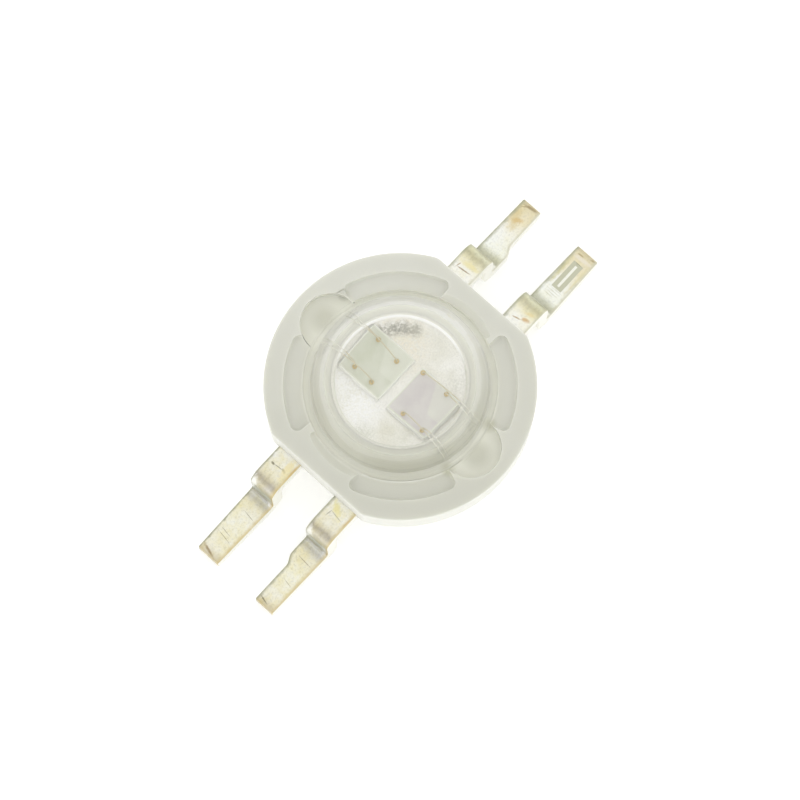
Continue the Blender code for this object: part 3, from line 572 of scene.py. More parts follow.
# The plate's tone along each lead, far leads and near leads apart: place along it in
# millimetres from the body's flat, and the plate's tone there. It holds tarnish, with painted
# shade in the bends and at the foot's root and painted highlights where the bends turn to the
# light.
FAR_LEADS_TARNISH_AND_PAINTED_LIGHT = (
    (0.0, "fafaf5"), (0.50, "f9f8ee"), (0.70, "f2eed6"), (0.80, "e6e1c2"), (0.89, "cac6a8"),
    (0.98, "dbdabe"),
    (1.05, "c4c4ac"), (1.20, "c8c8b3"), (2.62, "fafaf6"), (2.72, "f4f4ec"), (2.77, "bfbfab"),
    (2.88, "cdceb9"),
    (3.08, "f8faf2"), (3.70, "f8f8f0"), (4.30, "f0e8cc"), (4.72, "e8dfc0"), (4.91, "d0c6a6"))
NEAR_LEADS_TARNISH_AND_PAINTED_LIGHT = (
    (0.0, "fafaf5"), (0.80, "eeebda"), (0.87, "dfdac6"), (0.94, "bcb6a8"), (1.05, "d8d4c8"),
    (1.18, "d2d0c6"),
    (1.34, "cacccb"), (1.60, "dadfde"), (2.14, "dce1de"), (2.22, "f6f6f4"), (2.30, "c6c6c2"),
    (2.50, "cacac6"),
    (2.62, "dcdcd6"), (2.72, "cfcdc5"), (2.92, "f0ecd6"), (3.60, "f6f5e6"), (4.60, "f2efdc"),
    (4.91, "d2c8ac"))
# Scratches, dents and stains, and on the near leads white strokes of painted highlight on the
# bends and drops: from and to, along and across, then half width, tone and strength
SCRATCHES_STAINS_AND_PAINTED_HIGHLIGHTS = {
    1: ((0.40, 0.24, 0.46, -0.20, 0.022, "8a6a2c", 0.8), (0.38, 0.26, 0.56, 0.22, 0.018, "9c7a3a", 0.7),
        (0.62, 0.20, 0.66, -0.30, 0.10, "eadf9c", 0.6), (4.05, 0.05, 4.50, 0.24, 0.20, "dccb98", 0.7),
        (4.20, 0.10, 4.30, -0.05, 0.09, "d8b878", 0.5),
        (4.78, 0.16, 4.84, -0.22, 0.05, "a08c66", 0.7), (4.66, 0.25, 4.80, 0.05, 0.02, "96805c", 0.6)),
    2: ((0.38, 0.22, 0.44, -0.05, 0.022, "a8843f", 0.8),
    (0.50, -0.10, 0.54, -0.26, 0.07, "cfa567", 0.7),
        (0.70, -0.02, 0.76, -0.30, 0.06, "e6d498", 0.5),
        (3.16, 0.24, 3.16, -0.10, 0.010, "b9b58f", 0.6),
        (3.24, 0.20, 3.24, -0.22, 0.010, "b9b58f", 0.6),
        (3.32, 0.26, 3.32, -0.24, 0.010, "b9b58f", 0.6),
        (3.40, 0.10, 3.40, -0.26, 0.010, "b9b58f", 0.6), (3.55, 0.30, 4.45, 0.30, 0.07, "d4cfa2", 0.8),
        (3.50, -0.31, 4.70, -0.31, 0.05, "e2dbb4", 0.8), (4.62, 0.30, 4.66, -0.34, 0.07, "f0e9da", 0.7),
        (4.72, 0.22, 4.74, 0.05, 0.03, "a8966c", 0.7), (4.82, -0.20, 4.84, -0.34, 0.03, "a8966c", 0.7)),
    3: ((0.50, -0.26, 0.51, -0.19, 0.035, "84816c", 0.9),
    (0.50, -0.18, 0.48, 0.12, 0.012, "6f6b58", 0.8),
        (0.46, 0.12, 0.50, 0.22, 0.045, "85836f", 0.8), (0.10, 0.22, 0.66, 0.24, 0.13, "f0e3ae", 0.7),
        (0.12, 0.40, 0.60, 0.40, 0.035, "cf9a52", 0.8), (1.02, -0.45, 1.24, -0.20, 0.12, "fbfbf6", 0.8),
        (1.30, -0.36, 2.10, -0.36, 0.13, "f4f4f0", 0.7), (2.08, 0.24, 2.55, 0.38, 0.11, "fafaf8", 0.8),
        (3.20, -0.10, 3.26, 0.30, 0.012, "8f8a66", 0.7),
        (4.00, -0.28, 4.06, 0.10, 0.012, "8f8a66", 0.7),
        (4.14, -0.28, 4.22, 0.22, 0.012, "8f8a66", 0.7),
        (4.70, -0.34, 4.84, 0.10, 0.045, "9a8560", 0.8)),
    4: ((0.40, -0.20, 0.46, 0.25, 0.012, "6f6b58", 0.8),
    (0.40, -0.20, 0.62, -0.24, 0.012, "6f6b58", 0.7),
        (0.18, -0.24, 0.40, 0.05, 0.12, "ece39d", 0.7), (0.12, 0.40, 0.60, 0.38, 0.03, "cf9a52", 0.6),
        (1.02, -0.45, 1.24, -0.20, 0.12, "fbfbf6", 0.8),
        (3.10, -0.20, 3.14, 0.30, 0.014, "8a7a55", 0.7),
        (1.30, -0.36, 2.10, -0.34, 0.15, "f4f4f0", 0.7), (1.40, 0.30, 2.55, 0.34, 0.12, "f8f8f4", 0.7),
        (3.90, -0.12, 3.96, 0.20, 0.012, "8f8a66", 0.6),
        (4.72, -0.28, 4.80, 0.02, 0.022, "6f6b58", 0.8)),
}
# Tones along each lead's two edges and how far in they reach: painted shade where the rolled edges turn from
# the light.
EDGE_TONES_AND_PAINTED_SHADE = {
    1: (("d6d4bd", 0.10), ("a9aa92", 0.13)), 2: (("d2d0b8", 0.12), ("a9aa92", 0.13)),
    3: (("97977f", 0.09), ("d6c48e", 0.15)), 4: (("9c9c84", 0.11), ("d8c898", 0.15))}


def tarnished_strip(number):
    """Tarnished silver plate on stamped strip: pale cream metal, yellow to brown sulphide
    stains and scratches, with painted shade in the bends and on the rolled edges, painted
    highlights on the bends and the punched sides, and painted light on the inner and lower faces."""
    material, tree, output = new_material("tarnished_silver_plate_lead_%d" % number)
    strip = add_node(tree, "ShaderNodeUVMap", uv_map="strip").outputs["UV"]
    along = add_node(tree, "ShaderNodeSeparateXYZ", {0: strip}).outputs["X"]
    border = add_node(tree, "ShaderNodeSeparateXYZ", {
        0: add_node(tree, "ShaderNodeUVMap", uv_map="border").outputs["UV"]}).outputs
    moved = add_node(tree, "ShaderNodeMapping",
        {"Vector": strip, "Location": (0, 0, 3.7 * number)}).outputs[0]
    wander = add_node(tree, "ShaderNodeTexNoise", {
        "Vector": moved, "Scale": 5.0, "Detail": 4.0, "Roughness": 0.6}).outputs["Fac"]
    wandering = add_node(tree, "ShaderNodeMapRange", {
        "Value": wander, "From Min": 0.3, "From Max": 0.7, "To Min": -0.03,
        "To Max": 0.03}).outputs["Result"]
    wandering = add_node(tree, "ShaderNodeMath", {0: along, 1: wandering}, operation="ADD").outputs[0]
    share = add_node(tree, "ShaderNodeMapRange", {
        "Value": wandering, "From Min": -0.5, "From Max": 5.0}).outputs["Result"]
    tones = add_node(tree, "ShaderNodeValToRGB", {0: share})
    stops = FAR_LEADS_TARNISH_AND_PAINTED_LIGHT if number < 3 else NEAR_LEADS_TARNISH_AND_PAINTED_LIGHT
    while len(tones.color_ramp.elements) < len(stops):
        tones.color_ramp.elements.new(0.5)
    for stop, (place, colour) in zip(tones.color_ramp.elements, stops):
        stop.position = (place + 0.5) / 5.5
        stop.color = linear(colour)
    tone = tones.outputs["Color"]
    clouds = add_node(tree, "ShaderNodeTexNoise", {
        "Vector": moved, "Scale": 2.2, "Detail": 5.0, "Roughness": 0.65}).outputs["Fac"]
    yellow = add_node(tree, "ShaderNodeMapRange", {
        "Value": clouds, "From Min": 0.40, "From Max": 0.66}).outputs["Result"]
    tone = add_node(tree, "ShaderNodeMix", {
        "Factor": yellow, 6: tone, 7: linear("fcfaee" if number < 3 else "f9f4da"),
    }, data_type="RGBA", blend_type="MULTIPLY").outputs[2]
    grit = add_node(tree, "ShaderNodeTexNoise", {
        "Vector": moved, "Scale": 16.0, "Detail": 3.0, "Roughness": 0.75}).outputs["Fac"]
    grit = add_node(tree, "ShaderNodeMapRange", {
        "Value": grit, "From Min": 0.30, "From Max": 0.52, "To Min": 0.84,
        "To Max": 1.0}).outputs["Result"]
    tone = add_node(tree, "ShaderNodeMix", {
        "Factor": 1.0, 6: tone, 7: grit}, data_type="RGBA", blend_type="MULTIPLY").outputs[2]
    for from_u, from_v, to_u, to_v, half, colour, strength in SCRATCHES_STAINS_AND_PAINTED_HIGHLIGHTS[number]:
        length = math.hypot(to_u - from_u, to_v - from_v)
        stroke = add_node(tree, "ShaderNodeMapping", {
            "Vector": strip, "Location": ((from_u + to_u) / 2, (from_v + to_v) / 2, 0),
            "Rotation": (0, 0, math.atan2(to_v - from_v, to_u - from_u)),
            "Scale": (length / 2 + half, half, 1)}, vector_type="TEXTURE").outputs[0]
        rough = add_node(tree, "ShaderNodeTexNoise", {
            "Vector": moved, "Scale": max(9.0, 0.5 / half), "Detail": 4.0,
            "Roughness": 0.8}).outputs["Fac"]
        rough = add_node(tree, "ShaderNodeMath", {0: rough, 1: 2.0}, operation="MULTIPLY").outputs[0]
        away_from = add_node(tree, "ShaderNodeVectorMath", {0: stroke},
            operation="LENGTH").outputs["Value"]
        away_from = add_node(tree, "ShaderNodeMath", {0: away_from, 1: rough},
            operation="ADD").outputs[0]
        near = add_node(tree, "ShaderNodeMapRange", {
            "Value": away_from, "From Min": 1.45, "From Max": 2.15, "To Min": strength, "To Max": 0.0,
        }).outputs["Result"]
        tone = add_node(tree, "ShaderNodeMix", {
            "Factor": near, 6: tone, 7: linear(colour)}, data_type="RGBA").outputs[2]
    # The coined mark is drawn darker as painted shade, and the bar along its middle lighter as a painted
    # highlight.
    if number == 2:
        face = add_node(tree, "ShaderNodeMapping", {
            "Vector": strip, "Location": (3.957, 0, 0), "Scale": (0.52, 0.18, 1)},
            vector_type="TEXTURE").outputs[0]
        face = add_node(tree, "ShaderNodeSeparateXYZ", {
            0: add_node(tree, "ShaderNodeVectorMath", {0: face},
            operation="ABSOLUTE").outputs[0]}).outputs
        across = add_node(tree, "ShaderNodeMapRange", {
            "Value": face["Y"], "From Min": 0.20, "From Max": 0.25, "To Min": 1.0,
            "To Max": 0.0}).outputs["Result"]
        rib_painted_highlight = add_node(tree, "ShaderNodeMath", {0: face["X"], 1: 0.81},
            operation="LESS_THAN").outputs[0]
        rib_painted_highlight = add_node(tree, "ShaderNodeMath", {0: rib_painted_highlight, 1: across}, operation="MULTIPLY").outputs[0]
        pressed = add_node(tree, "ShaderNodeMath", {0: face["X"], 1: face["Y"]},
            operation="MAXIMUM").outputs[0]
        pressed = add_node(tree, "ShaderNodeMath", {0: pressed, 1: 1.0},
            operation="LESS_THAN").outputs[0]
        tone = add_node(tree, "ShaderNodeMix", {
            "Factor": pressed, 6: tone, 7: linear("c9c9b2")}, data_type="RGBA").outputs[2]
        tone = add_node(tree, "ShaderNodeMix", {
            "Factor": rib_painted_highlight, 6: tone, 7: linear("f6f6ea")}, data_type="RGBA").outputs[2]
    rows = add_node(tree, "ShaderNodeMapping", {"Vector": moved, "Scale": (9.0, 22.0, 1.0)}).outputs[0]
    rows = add_node(tree, "ShaderNodeTexVoronoi", {"Vector": rows, "Scale": 1.0}).outputs["Distance"]
    specks = add_node(tree, "ShaderNodeMapRange", {
        "Value": rows, "From Min": 0.05, "From Max": 0.20, "To Min": 0.5,
        "To Max": 0.0}).outputs["Result"]
    worn = add_node(tree, "ShaderNodeMapRange", {
        "Value": clouds, "From Min": 0.46, "From Max": 0.56}).outputs["Result"]
    specks = add_node(tree, "ShaderNodeMath", {0: specks, 1: worn}, operation="MULTIPLY").outputs[0]
    tone = add_node(tree, "ShaderNodeMix", {
        "Factor": specks, 6: tone, 7: linear("97906a")}, data_type="RGBA").outputs[2]
    for side, (colour, reach) in zip(("X", "Y"), EDGE_TONES_AND_PAINTED_SHADE[number]):
        edge = add_node(tree, "ShaderNodeMath", {0: wandering, 1: along},
            operation="SUBTRACT").outputs[0]
        edge = add_node(tree, "ShaderNodeMath", {0: border[side], 1: edge}, operation="ADD").outputs[0]
        edge = add_node(tree, "ShaderNodeMapRange", {
            "Value": edge, "From Min": 0.03, "From Max": reach, "To Min": 0.85,
            "To Max": 0.0}).outputs["Result"]
        tone = add_node(tree, "ShaderNodeMix", {
            "Factor": edge, 6: tone, 7: linear(colour)}, data_type="RGBA").outputs[2]
    # The punched sides are drawn near white as a painted highlight, and the inner and lower faces are lightened
    # as painted light in their shade.
    nearest = add_node(tree, "ShaderNodeMath", {0: border["X"], 1: border["Y"]},
        operation="MINIMUM").outputs[0]
    punched = add_node(tree, "ShaderNodeMath", {0: nearest, 1: 0.020}, operation="LESS_THAN").outputs[0]
    under = add_node(tree, "ShaderNodeVectorMath", {
        0: add_node(tree, "ShaderNodeNewGeometry").outputs["Normal"],
        1: (-1.0 if number < 3 else 1.0, 0.0, -1.0)}, operation="DOT_PRODUCT").outputs["Value"]
    under = add_node(tree, "ShaderNodeMapRange",
        {"Value": under, "From Min": 0.2, "From Max": 0.6}).outputs["Result"]
    painted_light_faces = add_node(tree, "ShaderNodeMath", {0: punched, 1: under}, operation="MAXIMUM").outputs[0]
    tone = add_node(tree, "ShaderNodeMix", {
        "Factor": painted_light_faces, 6: tone, 7: linear("f2f1e8")}, data_type="RGBA").outputs[2]
    drawn = add_node(tree, "ShaderNodeMapping", {"Vector": moved, "Scale": (3.0, 46.0, 1.0)}).outputs[0]
    drawn = add_node(tree, "ShaderNodeTexNoise", {
        "Vector": drawn, "Scale": 1.0, "Detail": 3.0, "Roughness": 0.7}).outputs["Fac"]
    dents = add_node(tree, "ShaderNodeTexVoronoi", {"Vector": moved, "Scale": 9.0}).outputs["Distance"]
    relief = add_node(tree, "ShaderNodeBump", {
        "Height": drawn, "Strength": 0.6, "Distance": 0.006 * MM}).outputs["Normal"]
    relief = add_node(tree, "ShaderNodeBump", {
        "Height": dents, "Normal": relief, "Strength": 0.25, "Distance": 0.01 * MM}).outputs["Normal"]
    plate = add_node(tree, "ShaderNodeBsdfPrincipled", {
        "Base Color": tone, "Metallic": 1.0, "Roughness": 0.36, "Normal": relief})
    tree.links.new(plate.outputs[0], output.inputs["Surface"])
    return material


for number, (side_x, side_y, narrow_foot) in LEAD_CORNERS.items():
    lead = build_lead("gull_wing_lead_%d" % number, side_x, side_y, narrow_foot, number == 2,
        tarnished_strip(number))
    smooth(lead, 40.0)
    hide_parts("lead_%d" % number)
    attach(lead, "root")


# ---------------------------------------------------------------- moulded body
# White heat-proof nylon, moulded in one shot round the slug and the leads. It has a flat on
# each side where the leads come out, a recess with two pockets for the lens's flange and
# ears, four shallow arc ledges round that, and a trough round the cup for the wires.
BODY_RADIUS = 3.996
BODY_TOP = 2.85
PARTING = 1.70
BODY_BOTTOM = 0.45
BASE_RADIUS = 3.74
BASE_FLAT = 3.327
BASE_DRAFT = 0.985
SEAT = 2.45
TROUGH_RADIUS = 2.452
COLLAR_RADIUS = 1.702
COLLAR_TOP = 2.845
RECESS_RADIUS = 2.842
CRESCENT_CENTRE = 0.91
CRESCENT_RADIUS = 1.95
CRESCENT_HALF_ANGLE = 28.0
CRESCENT_FLOOR = 2.64
CRESCENT_SPREAD = 0.124
LEDGE_RADIUS = 3.422
LEDGE_DEPTH = 0.15
LEDGE_SPANS = ((15.3, 72.5), (105.0, 158.3), (-165.8, -108.5), (-72.5, -19.6))
LEDGE_CORNER = 0.20
EAR_CENTRE = 2.75
POCKET_LOBE = 0.91
POCKET_FILLET = 0.12
WITNESS_RING = 3.34
WITNESS_FILLET = 0.30
WITNESS_WIDTH = 0.024
ABOVE = BODY_TOP + 1.0


def arc(centre, radius, start, end, step=2.5):
    """Points on a circle from one angle to another, in degrees, both ends included."""
    count = max(2, math.ceil(abs(end - start) / step))
    angles = [math.radians(start + (end - start) * index / count) for index in range(count + 1)]
    return [(centre[0] + radius * math.cos(angle),
        centre[1] + radius * math.sin(angle)) for angle in angles]


def plate_solid(name, outline, bottom, top, bottom_edge=0.0, top_edge=0.0, spread=0.0):
    """A flat outline made solid between two heights. Its edges may be rounded, and its top
    may spread outwards, which rounds the rim of a pocket that it cuts."""
    form = bmesh.new()
    loop = [form.verts.new((x, y, bottom)) for x, y in outline]
    base = form.faces.new(loop)
    raised = bmesh.ops.extrude_face_region(form, geom=[base])["geom"]
    upper = [item for item in raised if isinstance(item, bmesh.types.BMVert)]
    bmesh.ops.translate(form, vec=(0, 0, top - bottom), verts=upper)
    bmesh.ops.scale(form, vec=(1 + spread, 1 + spread, 1), verts=upper)
    bmesh.ops.recalc_face_normals(form, faces=form.faces)
    for height, width in ((bottom, bottom_edge), (top, top_edge)):
        if width:
            rim = [edge for edge in form.edges if all(abs(v.co.z - height) < 1e-5 for v in edge.verts)]
            bmesh.ops.bevel(form, geom=rim, offset=width, segments=3, profile=0.5, affect="EDGES",
                clamp_overlap=True)
    mesh = bpy.data.meshes.new(name)
    form.to_mesh(mesh)
    form.free()
    solid = bpy.data.objects.new(name, mesh)
    bpy.context.scene.collection.objects.link(solid)
    return solid


def combine(piece, operation, tool):
    """Adds one solid to another, or cuts it out, once the piece's mesh is made plain."""
    boolean = piece.modifiers.new(tool.name, "BOOLEAN")
    boolean.operation = operation
    boolean.solver = "EXACT"
    boolean.object = tool


def finish_solid(piece, finish):
    """Runs the Booleans, removes their tools, and gives the piece its finish and its size."""
    tools = [modifier.object for modifier in piece.modifiers if modifier.type == "BOOLEAN"]
    plain_mesh(piece)
    for tool in tools:
        bpy.data.objects.remove(tool, do_unlink=True)
    piece.data.materials.clear()
    piece.data.materials.append(finish)
    to_metres(piece)


def body_outline(radius, flat, corner=0.4):
    """A circle with a flat at each end of X, and a rounded corner at each end of a flat."""
    x = flat - corner
    y = math.sqrt((radius - corner) ** 2 - x ** 2)
    turn = math.degrees(math.atan2(y, x))
    outline = arc((x, y), corner, 0, turn, 10) + arc((0, 0), radius, turn, 180 - turn)[1:]
    outline += arc((-x, y), corner, 180 - turn, 180, 10)[1:] + arc((-x, -y), corner, 180, 180 + turn,
        10)
    outline += arc((0, 0), radius, 180 + turn, 360 - turn)[1:] + arc((x, -y), corner, 360 - turn, 360,
        10)[1:]
    return outline


def ear_flank(ring, lobe, fillet):
    """The fillet from a ring to the lobe of an ear, and the angle at which the lobe starts."""
    reach = ring + fillet
    y = (reach ** 2 - (lobe + fillet) ** 2 + EAR_CENTRE ** 2) / (2 * EAR_CENTRE)
    x = math.sqrt(reach ** 2 - y ** 2)
    lobe_start = math.degrees(math.atan2(y - EAR_CENTRE, x))
    ring_side = math.degrees(math.atan2(-y, -x)) + 360
    return arc((x, y), fillet, ring_side, lobe_start + 180, 6), lobe_start


def ear_outline(ring, lobe, fillet, side):
    """A rounded lobe that grows out of a ring, with a fillet on each side of it."""
    right, lobe_start = ear_flank(ring, lobe, fillet)
    tip = arc((0, EAR_CENTRE), lobe, lobe_start, 180 - lobe_start, 4)
    left = [(-x, y) for x, y in reversed(right)]
    outline = right + tip[1:-1] + left + [(left[-1][0], 2.45), (right[0][0], 2.45)]
    return [(side * x, side * y) for x, y in outline]


# Moulded white nylon, spark-eroded mould: it gives an even satin surface, faintly greenish
# grey, with a fine grain, a slow cloudy change of shade where the nylon flowed, and a few dark
# specks. Painted light is drawn in too: it grows lighter towards +X and +Y, the recess, trough,
# pockets and outer walls are drawn lighter, the trough and collar darker on one side as painted
# shade, the land and the seat beside the ears darker as painted shade, and each ear has a darker
# painted reflection under it.
white_nylon, tree, output = new_material("moulded_white_heatproof_nylon")
place = add_node(tree, "ShaderNodeTexCoord").outputs["Object"]
flow_tone_and_painted_light = add_node(tree, "ShaderNodeTexNoise", {
    "Vector": place, "Scale": 1 / (3.0 * MM), "Detail": 3.0, "Roughness": 0.5,
    "Distortion": 0.8}).outputs["Fac"]
# Painted light: a gradient that makes the tone lighter towards +X and +Y.
painted_light_gradient = add_node(tree, "ShaderNodeVectorMath", {0: place, 1: (90.0, 90.0, 0.0)},
    operation="DOT_PRODUCT")
flow_tone_and_painted_light = add_node(tree, "ShaderNodeMath", {0: flow_tone_and_painted_light, 1: painted_light_gradient.outputs["Value"]}, operation="ADD",
    use_clamp=True)
tone = add_node(tree, "ShaderNodeMix", {
    "Factor": flow_tone_and_painted_light.outputs[0], 6: linear("cfcfc3"), 7: linear("d9d9cf")}, data_type="RGBA").outputs[2]
parts = add_node(tree, "ShaderNodeSeparateXYZ", {0: place}).outputs
flat_place = add_node(tree, "ShaderNodeCombineXYZ", {"X": parts["X"], "Y": parts["Y"]}).outputs[0]
from_axis = add_node(tree, "ShaderNodeVectorMath", {0: flat_place}, operation="LENGTH").outputs["Value"]
# Painted light in the recess: the seat, the collar and the trough are drawn lighter than the body, up to white
# in the trough's outer half, against the shade that falls in them, and darker towards the side away from +X and
# +Y as painted shade.
recess_painted_light = add_node(tree, "ShaderNodeMapRange", {
    "Value": from_axis, "From Min": 2.84 * MM, "From Max": 2.90 * MM, "To Min": 1.0, "To Max": 0.0,
}).outputs["Result"]
deep = add_node(tree, "ShaderNodeMapRange", {
    "Value": parts["Z"], "From Min": 2.80 * MM, "From Max": 2.83 * MM, "To Min": 1.0, "To Max": 0.0,
}).outputs["Result"]
within = add_node(tree, "ShaderNodeMath", {0: from_axis, 1: 2.47 * MM},
    operation="LESS_THAN").outputs[0]
deep = add_node(tree, "ShaderNodeMath", {0: deep, 1: within}, operation="MULTIPLY").outputs[0]
shade_side = add_node(tree, "ShaderNodeVectorMath", {0: place, 1: (0.74, 0.67, 0.0)},
    operation="DOT_PRODUCT")
shaded = add_node(tree, "ShaderNodeMapRange", {
    "Value": shade_side.outputs["Value"], "From Min": -2.2 * MM,
    "From Max": 1.6 * MM}).outputs["Result"]
trough_tone = add_node(tree, "ShaderNodeMix", {
    "Factor": shaded, 6: linear("dadacf"), 7: linear("fffffa")}, data_type="RGBA").outputs[2]
outer_half = add_node(tree, "ShaderNodeMapRange", {
    "Value": from_axis, "From Min": 1.95 * MM, "From Max": 2.30 * MM}).outputs["Result"]
outer_tone = add_node(tree, "ShaderNodeMix", {
    "Factor": shaded, 6: linear("fafaf4"), 7: linear("ffffff")}, data_type="RGBA").outputs[2]
trough_tone = add_node(tree, "ShaderNodeMix", {
    "Factor": outer_half, 6: trough_tone, 7: outer_tone}, data_type="RGBA").outputs[2]
collar_tone = add_node(tree, "ShaderNodeMix", {
    "Factor": shaded, 6: linear("c4c4b8"), 7: linear("d9d9ce")}, data_type="RGBA").outputs[2]
recess_painted_light_tone = add_node(tree, "ShaderNodeMix", {
    "Factor": within, 6: linear("dadad0"), 7: collar_tone}, data_type="RGBA").outputs[2]
recess_painted_light_tone = add_node(tree, "ShaderNodeMix", {
    "Factor": deep, 6: recess_painted_light_tone, 7: trough_tone}, data_type="RGBA").outputs[2]
tone = add_node(tree, "ShaderNodeMix", {
    "Factor": recess_painted_light, 6: tone, 7: recess_painted_light_tone}, data_type="RGBA").outputs[2]
# Painted light in the ears' pockets and round the lens's flange: the low floors are drawn lighter against their
# shade, with a darker oval under each ear as painted reflection.
sunken = add_node(tree, "ShaderNodeMapRange", {
    "Value": parts["Z"], "From Min": 2.50 * MM, "From Max": 2.64 * MM, "To Min": 1.0, "To Max": 0.0,
}).outputs["Result"]
beyond = add_node(tree, "ShaderNodeMapRange", {
    "Value": from_axis, "From Min": 2.50 * MM, "From Max": 2.86 * MM}).outputs["Result"]
inboard = add_node(tree, "ShaderNodeMath", {0: from_axis, 1: 3.80 * MM},
    operation="LESS_THAN").outputs[0]
pocket = add_node(tree, "ShaderNodeMath", {0: sunken, 1: beyond}, operation="MULTIPLY").outputs[0]
pocket = add_node(tree, "ShaderNodeMath", {0: pocket, 1: inboard}, operation="MULTIPLY").outputs[0]
far_y = add_node(tree, "ShaderNodeMath", {0: parts["Y"]}, operation="ABSOLUTE").outputs[0]
dark_oval_place = add_node(tree, "ShaderNodeCombineXYZ", {"X": parts["X"], "Y": far_y}).outputs[0]
off_dark_oval = add_node(tree, "ShaderNodeVectorMath", {0: dark_oval_place, 1: (0, 2.98 * MM, 0)},
    operation="DISTANCE")
painted_reflection_oval = add_node(tree, "ShaderNodeMapRange", {
    "Value": off_dark_oval.outputs["Value"], "From Min": 0.20 * MM, "From Max": 0.52 * MM,
    "To Min": 1.0, "To Max": 0.0}).outputs["Result"]
pocket_tone = add_node(tree, "ShaderNodeMix", {
    "Factor": painted_reflection_oval, 6: linear("e4e4d8"), 7: linear("cdcdbe")}, data_type="RGBA").outputs[2]
tone = add_node(tree, "ShaderNodeMix", {
    "Factor": pocket, 6: tone, 7: pocket_tone}, data_type="RGBA").outputs[2]
# Painted light: the outer walls are drawn lighter than the top.
outer_wall = add_node(tree, "ShaderNodeMapRange", {
    "Value": add_node(tree, "ShaderNodeSeparateXYZ", {
        0: add_node(tree, "ShaderNodeNewGeometry").outputs["Normal"]}).outputs["Z"],
    "From Min": 0.15, "From Max": 0.75, "To Min": 1.0, "To Max": 0.0}).outputs["Result"]
outside = add_node(tree, "ShaderNodeMath", {0: from_axis, 1: 3.5 * MM},
    operation="GREATER_THAN").outputs[0]
outer_wall = add_node(tree, "ShaderNodeMath", {0: outer_wall, 1: outside},
    operation="MULTIPLY").outputs[0]
tone = add_node(tree, "ShaderNodeMix", {
    "Factor": outer_wall, 6: tone, 7: linear("e3e3da")}, data_type="RGBA").outputs[2]
# The narrow land beside one pocket lies in shade, and so does the seat where an ear's
# fillets meet the flange.
land = add_node(tree, "ShaderNodeVectorMath", {
    0: flat_place, 1: (0.90 * MM, 3.07 * MM, 0)}, operation="DISTANCE").outputs["Value"]
land = add_node(tree, "ShaderNodeMapRange", {
    "Value": land, "From Min": 0.10 * MM, "From Max": 0.20 * MM, "To Min": 0.6,
    "To Max": 0.0}).outputs["Result"]
tone = add_node(tree, "ShaderNodeMix", {
    "Factor": land, 6: tone, 7: linear("c0c0b2")}, data_type="RGBA").outputs[2]
web_place = add_node(tree, "ShaderNodeCombineXYZ", {
    "X": add_node(tree, "ShaderNodeMath", {0: parts["X"]}, operation="ABSOLUTE").outputs[0],
    "Y": parts["Y"]}).outputs[0]
web = add_node(tree, "ShaderNodeVectorMath", {
    0: web_place, 1: (0.89 * MM, -2.67 * MM, 0)}, operation="DISTANCE").outputs["Value"]
web = add_node(tree, "ShaderNodeMapRange", {
    "Value": web, "From Min": 0.06 * MM, "From Max": 0.28 * MM, "To Min": 0.6,
    "To Max": 0.0}).outputs["Result"]
tone = add_node(tree, "ShaderNodeMix", {
    "Factor": web, 6: tone, 7: linear("b2b196")}, data_type="RGBA").outputs[2]
speck_place = add_node(tree, "ShaderNodeTexVoronoi", {
    "Vector": place, "Scale": 1 / (1.1 * MM), "Randomness": 1.0})
near_speck = add_node(tree, "ShaderNodeMath", {
    0: speck_place.outputs["Distance"], 1: 0.018}, operation="LESS_THAN").outputs[0]
speck_colour = add_node(tree, "ShaderNodeSeparateColor", {0: speck_place.outputs["Color"]}).outputs[0]
few = add_node(tree, "ShaderNodeMath", {0: speck_colour, 1: 0.12}, operation="LESS_THAN").outputs[0]
speck = add_node(tree, "ShaderNodeMath", {0: near_speck, 1: few}, operation="MULTIPLY").outputs[0]
tone = add_node(tree, "ShaderNodeMix", {
    "Factor": speck, 6: tone, 7: linear("6f6a55")}, data_type="RGBA").outputs[2]
GRAIN = 1 / (0.06 * MM)
grain = add_node(tree, "ShaderNodeTexNoise", {
    "Vector": place, "Scale": GRAIN, "Detail": 2.0, "Roughness": 0.6}).outputs["Fac"]
relief = add_node(tree, "ShaderNodeBump", {
    "Height": grain, "Strength": 0.3, "Distance": 0.006 * MM}).outputs["Normal"]
nylon = add_node(tree, "ShaderNodeBsdfPrincipled", {
    "Base Color": tone, "Roughness": 0.52, "IOR": 1.53, "Normal": relief,
    "Subsurface Weight": 0.5, "Subsurface Radius": (1.0, 1.0, 0.9), "Subsurface Scale": 0.25 * MM})
tree.links.new(nylon.outputs[0], output.inputs["Surface"])

body = plate_solid("moulded_body", body_outline(BODY_RADIUS, BODY_FLAT), PARTING, BODY_TOP, 0.02, 0.05)
lower = plate_solid("lower_mould_half", body_outline(BASE_RADIUS, BASE_FLAT), BODY_BOTTOM, 2.2, 0.04)
for vertex in lower.data.vertices:
    if vertex.co.z < 1.0:
        vertex.co.x *= BASE_DRAFT
        vertex.co.y *= BASE_DRAFT
combine(body, "UNION", lower)
combine(body, "DIFFERENCE", turned("recess_and_trough", rounded([
    (0.0, ABOVE, 0), (RECESS_RADIUS, ABOVE, 0), (RECESS_RADIUS, SEAT, 0.03),
    (TROUGH_RADIUS, SEAT, 0.03),
    (TROUGH_RADIUS, LEAD_TOP, 0.05), (COLLAR_RADIUS, LEAD_TOP, 0.05), (COLLAR_RADIUS, COLLAR_TOP, 0.03),
    (0.0, COLLAR_TOP, 0)])))
combine(body, "DIFFERENCE", turned("slug_bore", [
    (0.0, ABOVE), (1.504, ABOVE), (1.504, 1.23), (2.30, 1.23), (2.36, 1.17), (2.36, 1.02), (2.16, 1.02),
    (2.16, 0.82), (2.36, 0.82), (2.36, 0.63), (2.75, 0.63), (2.81, 0.57), (2.81, -1.0), (0.0, -1.0)]))
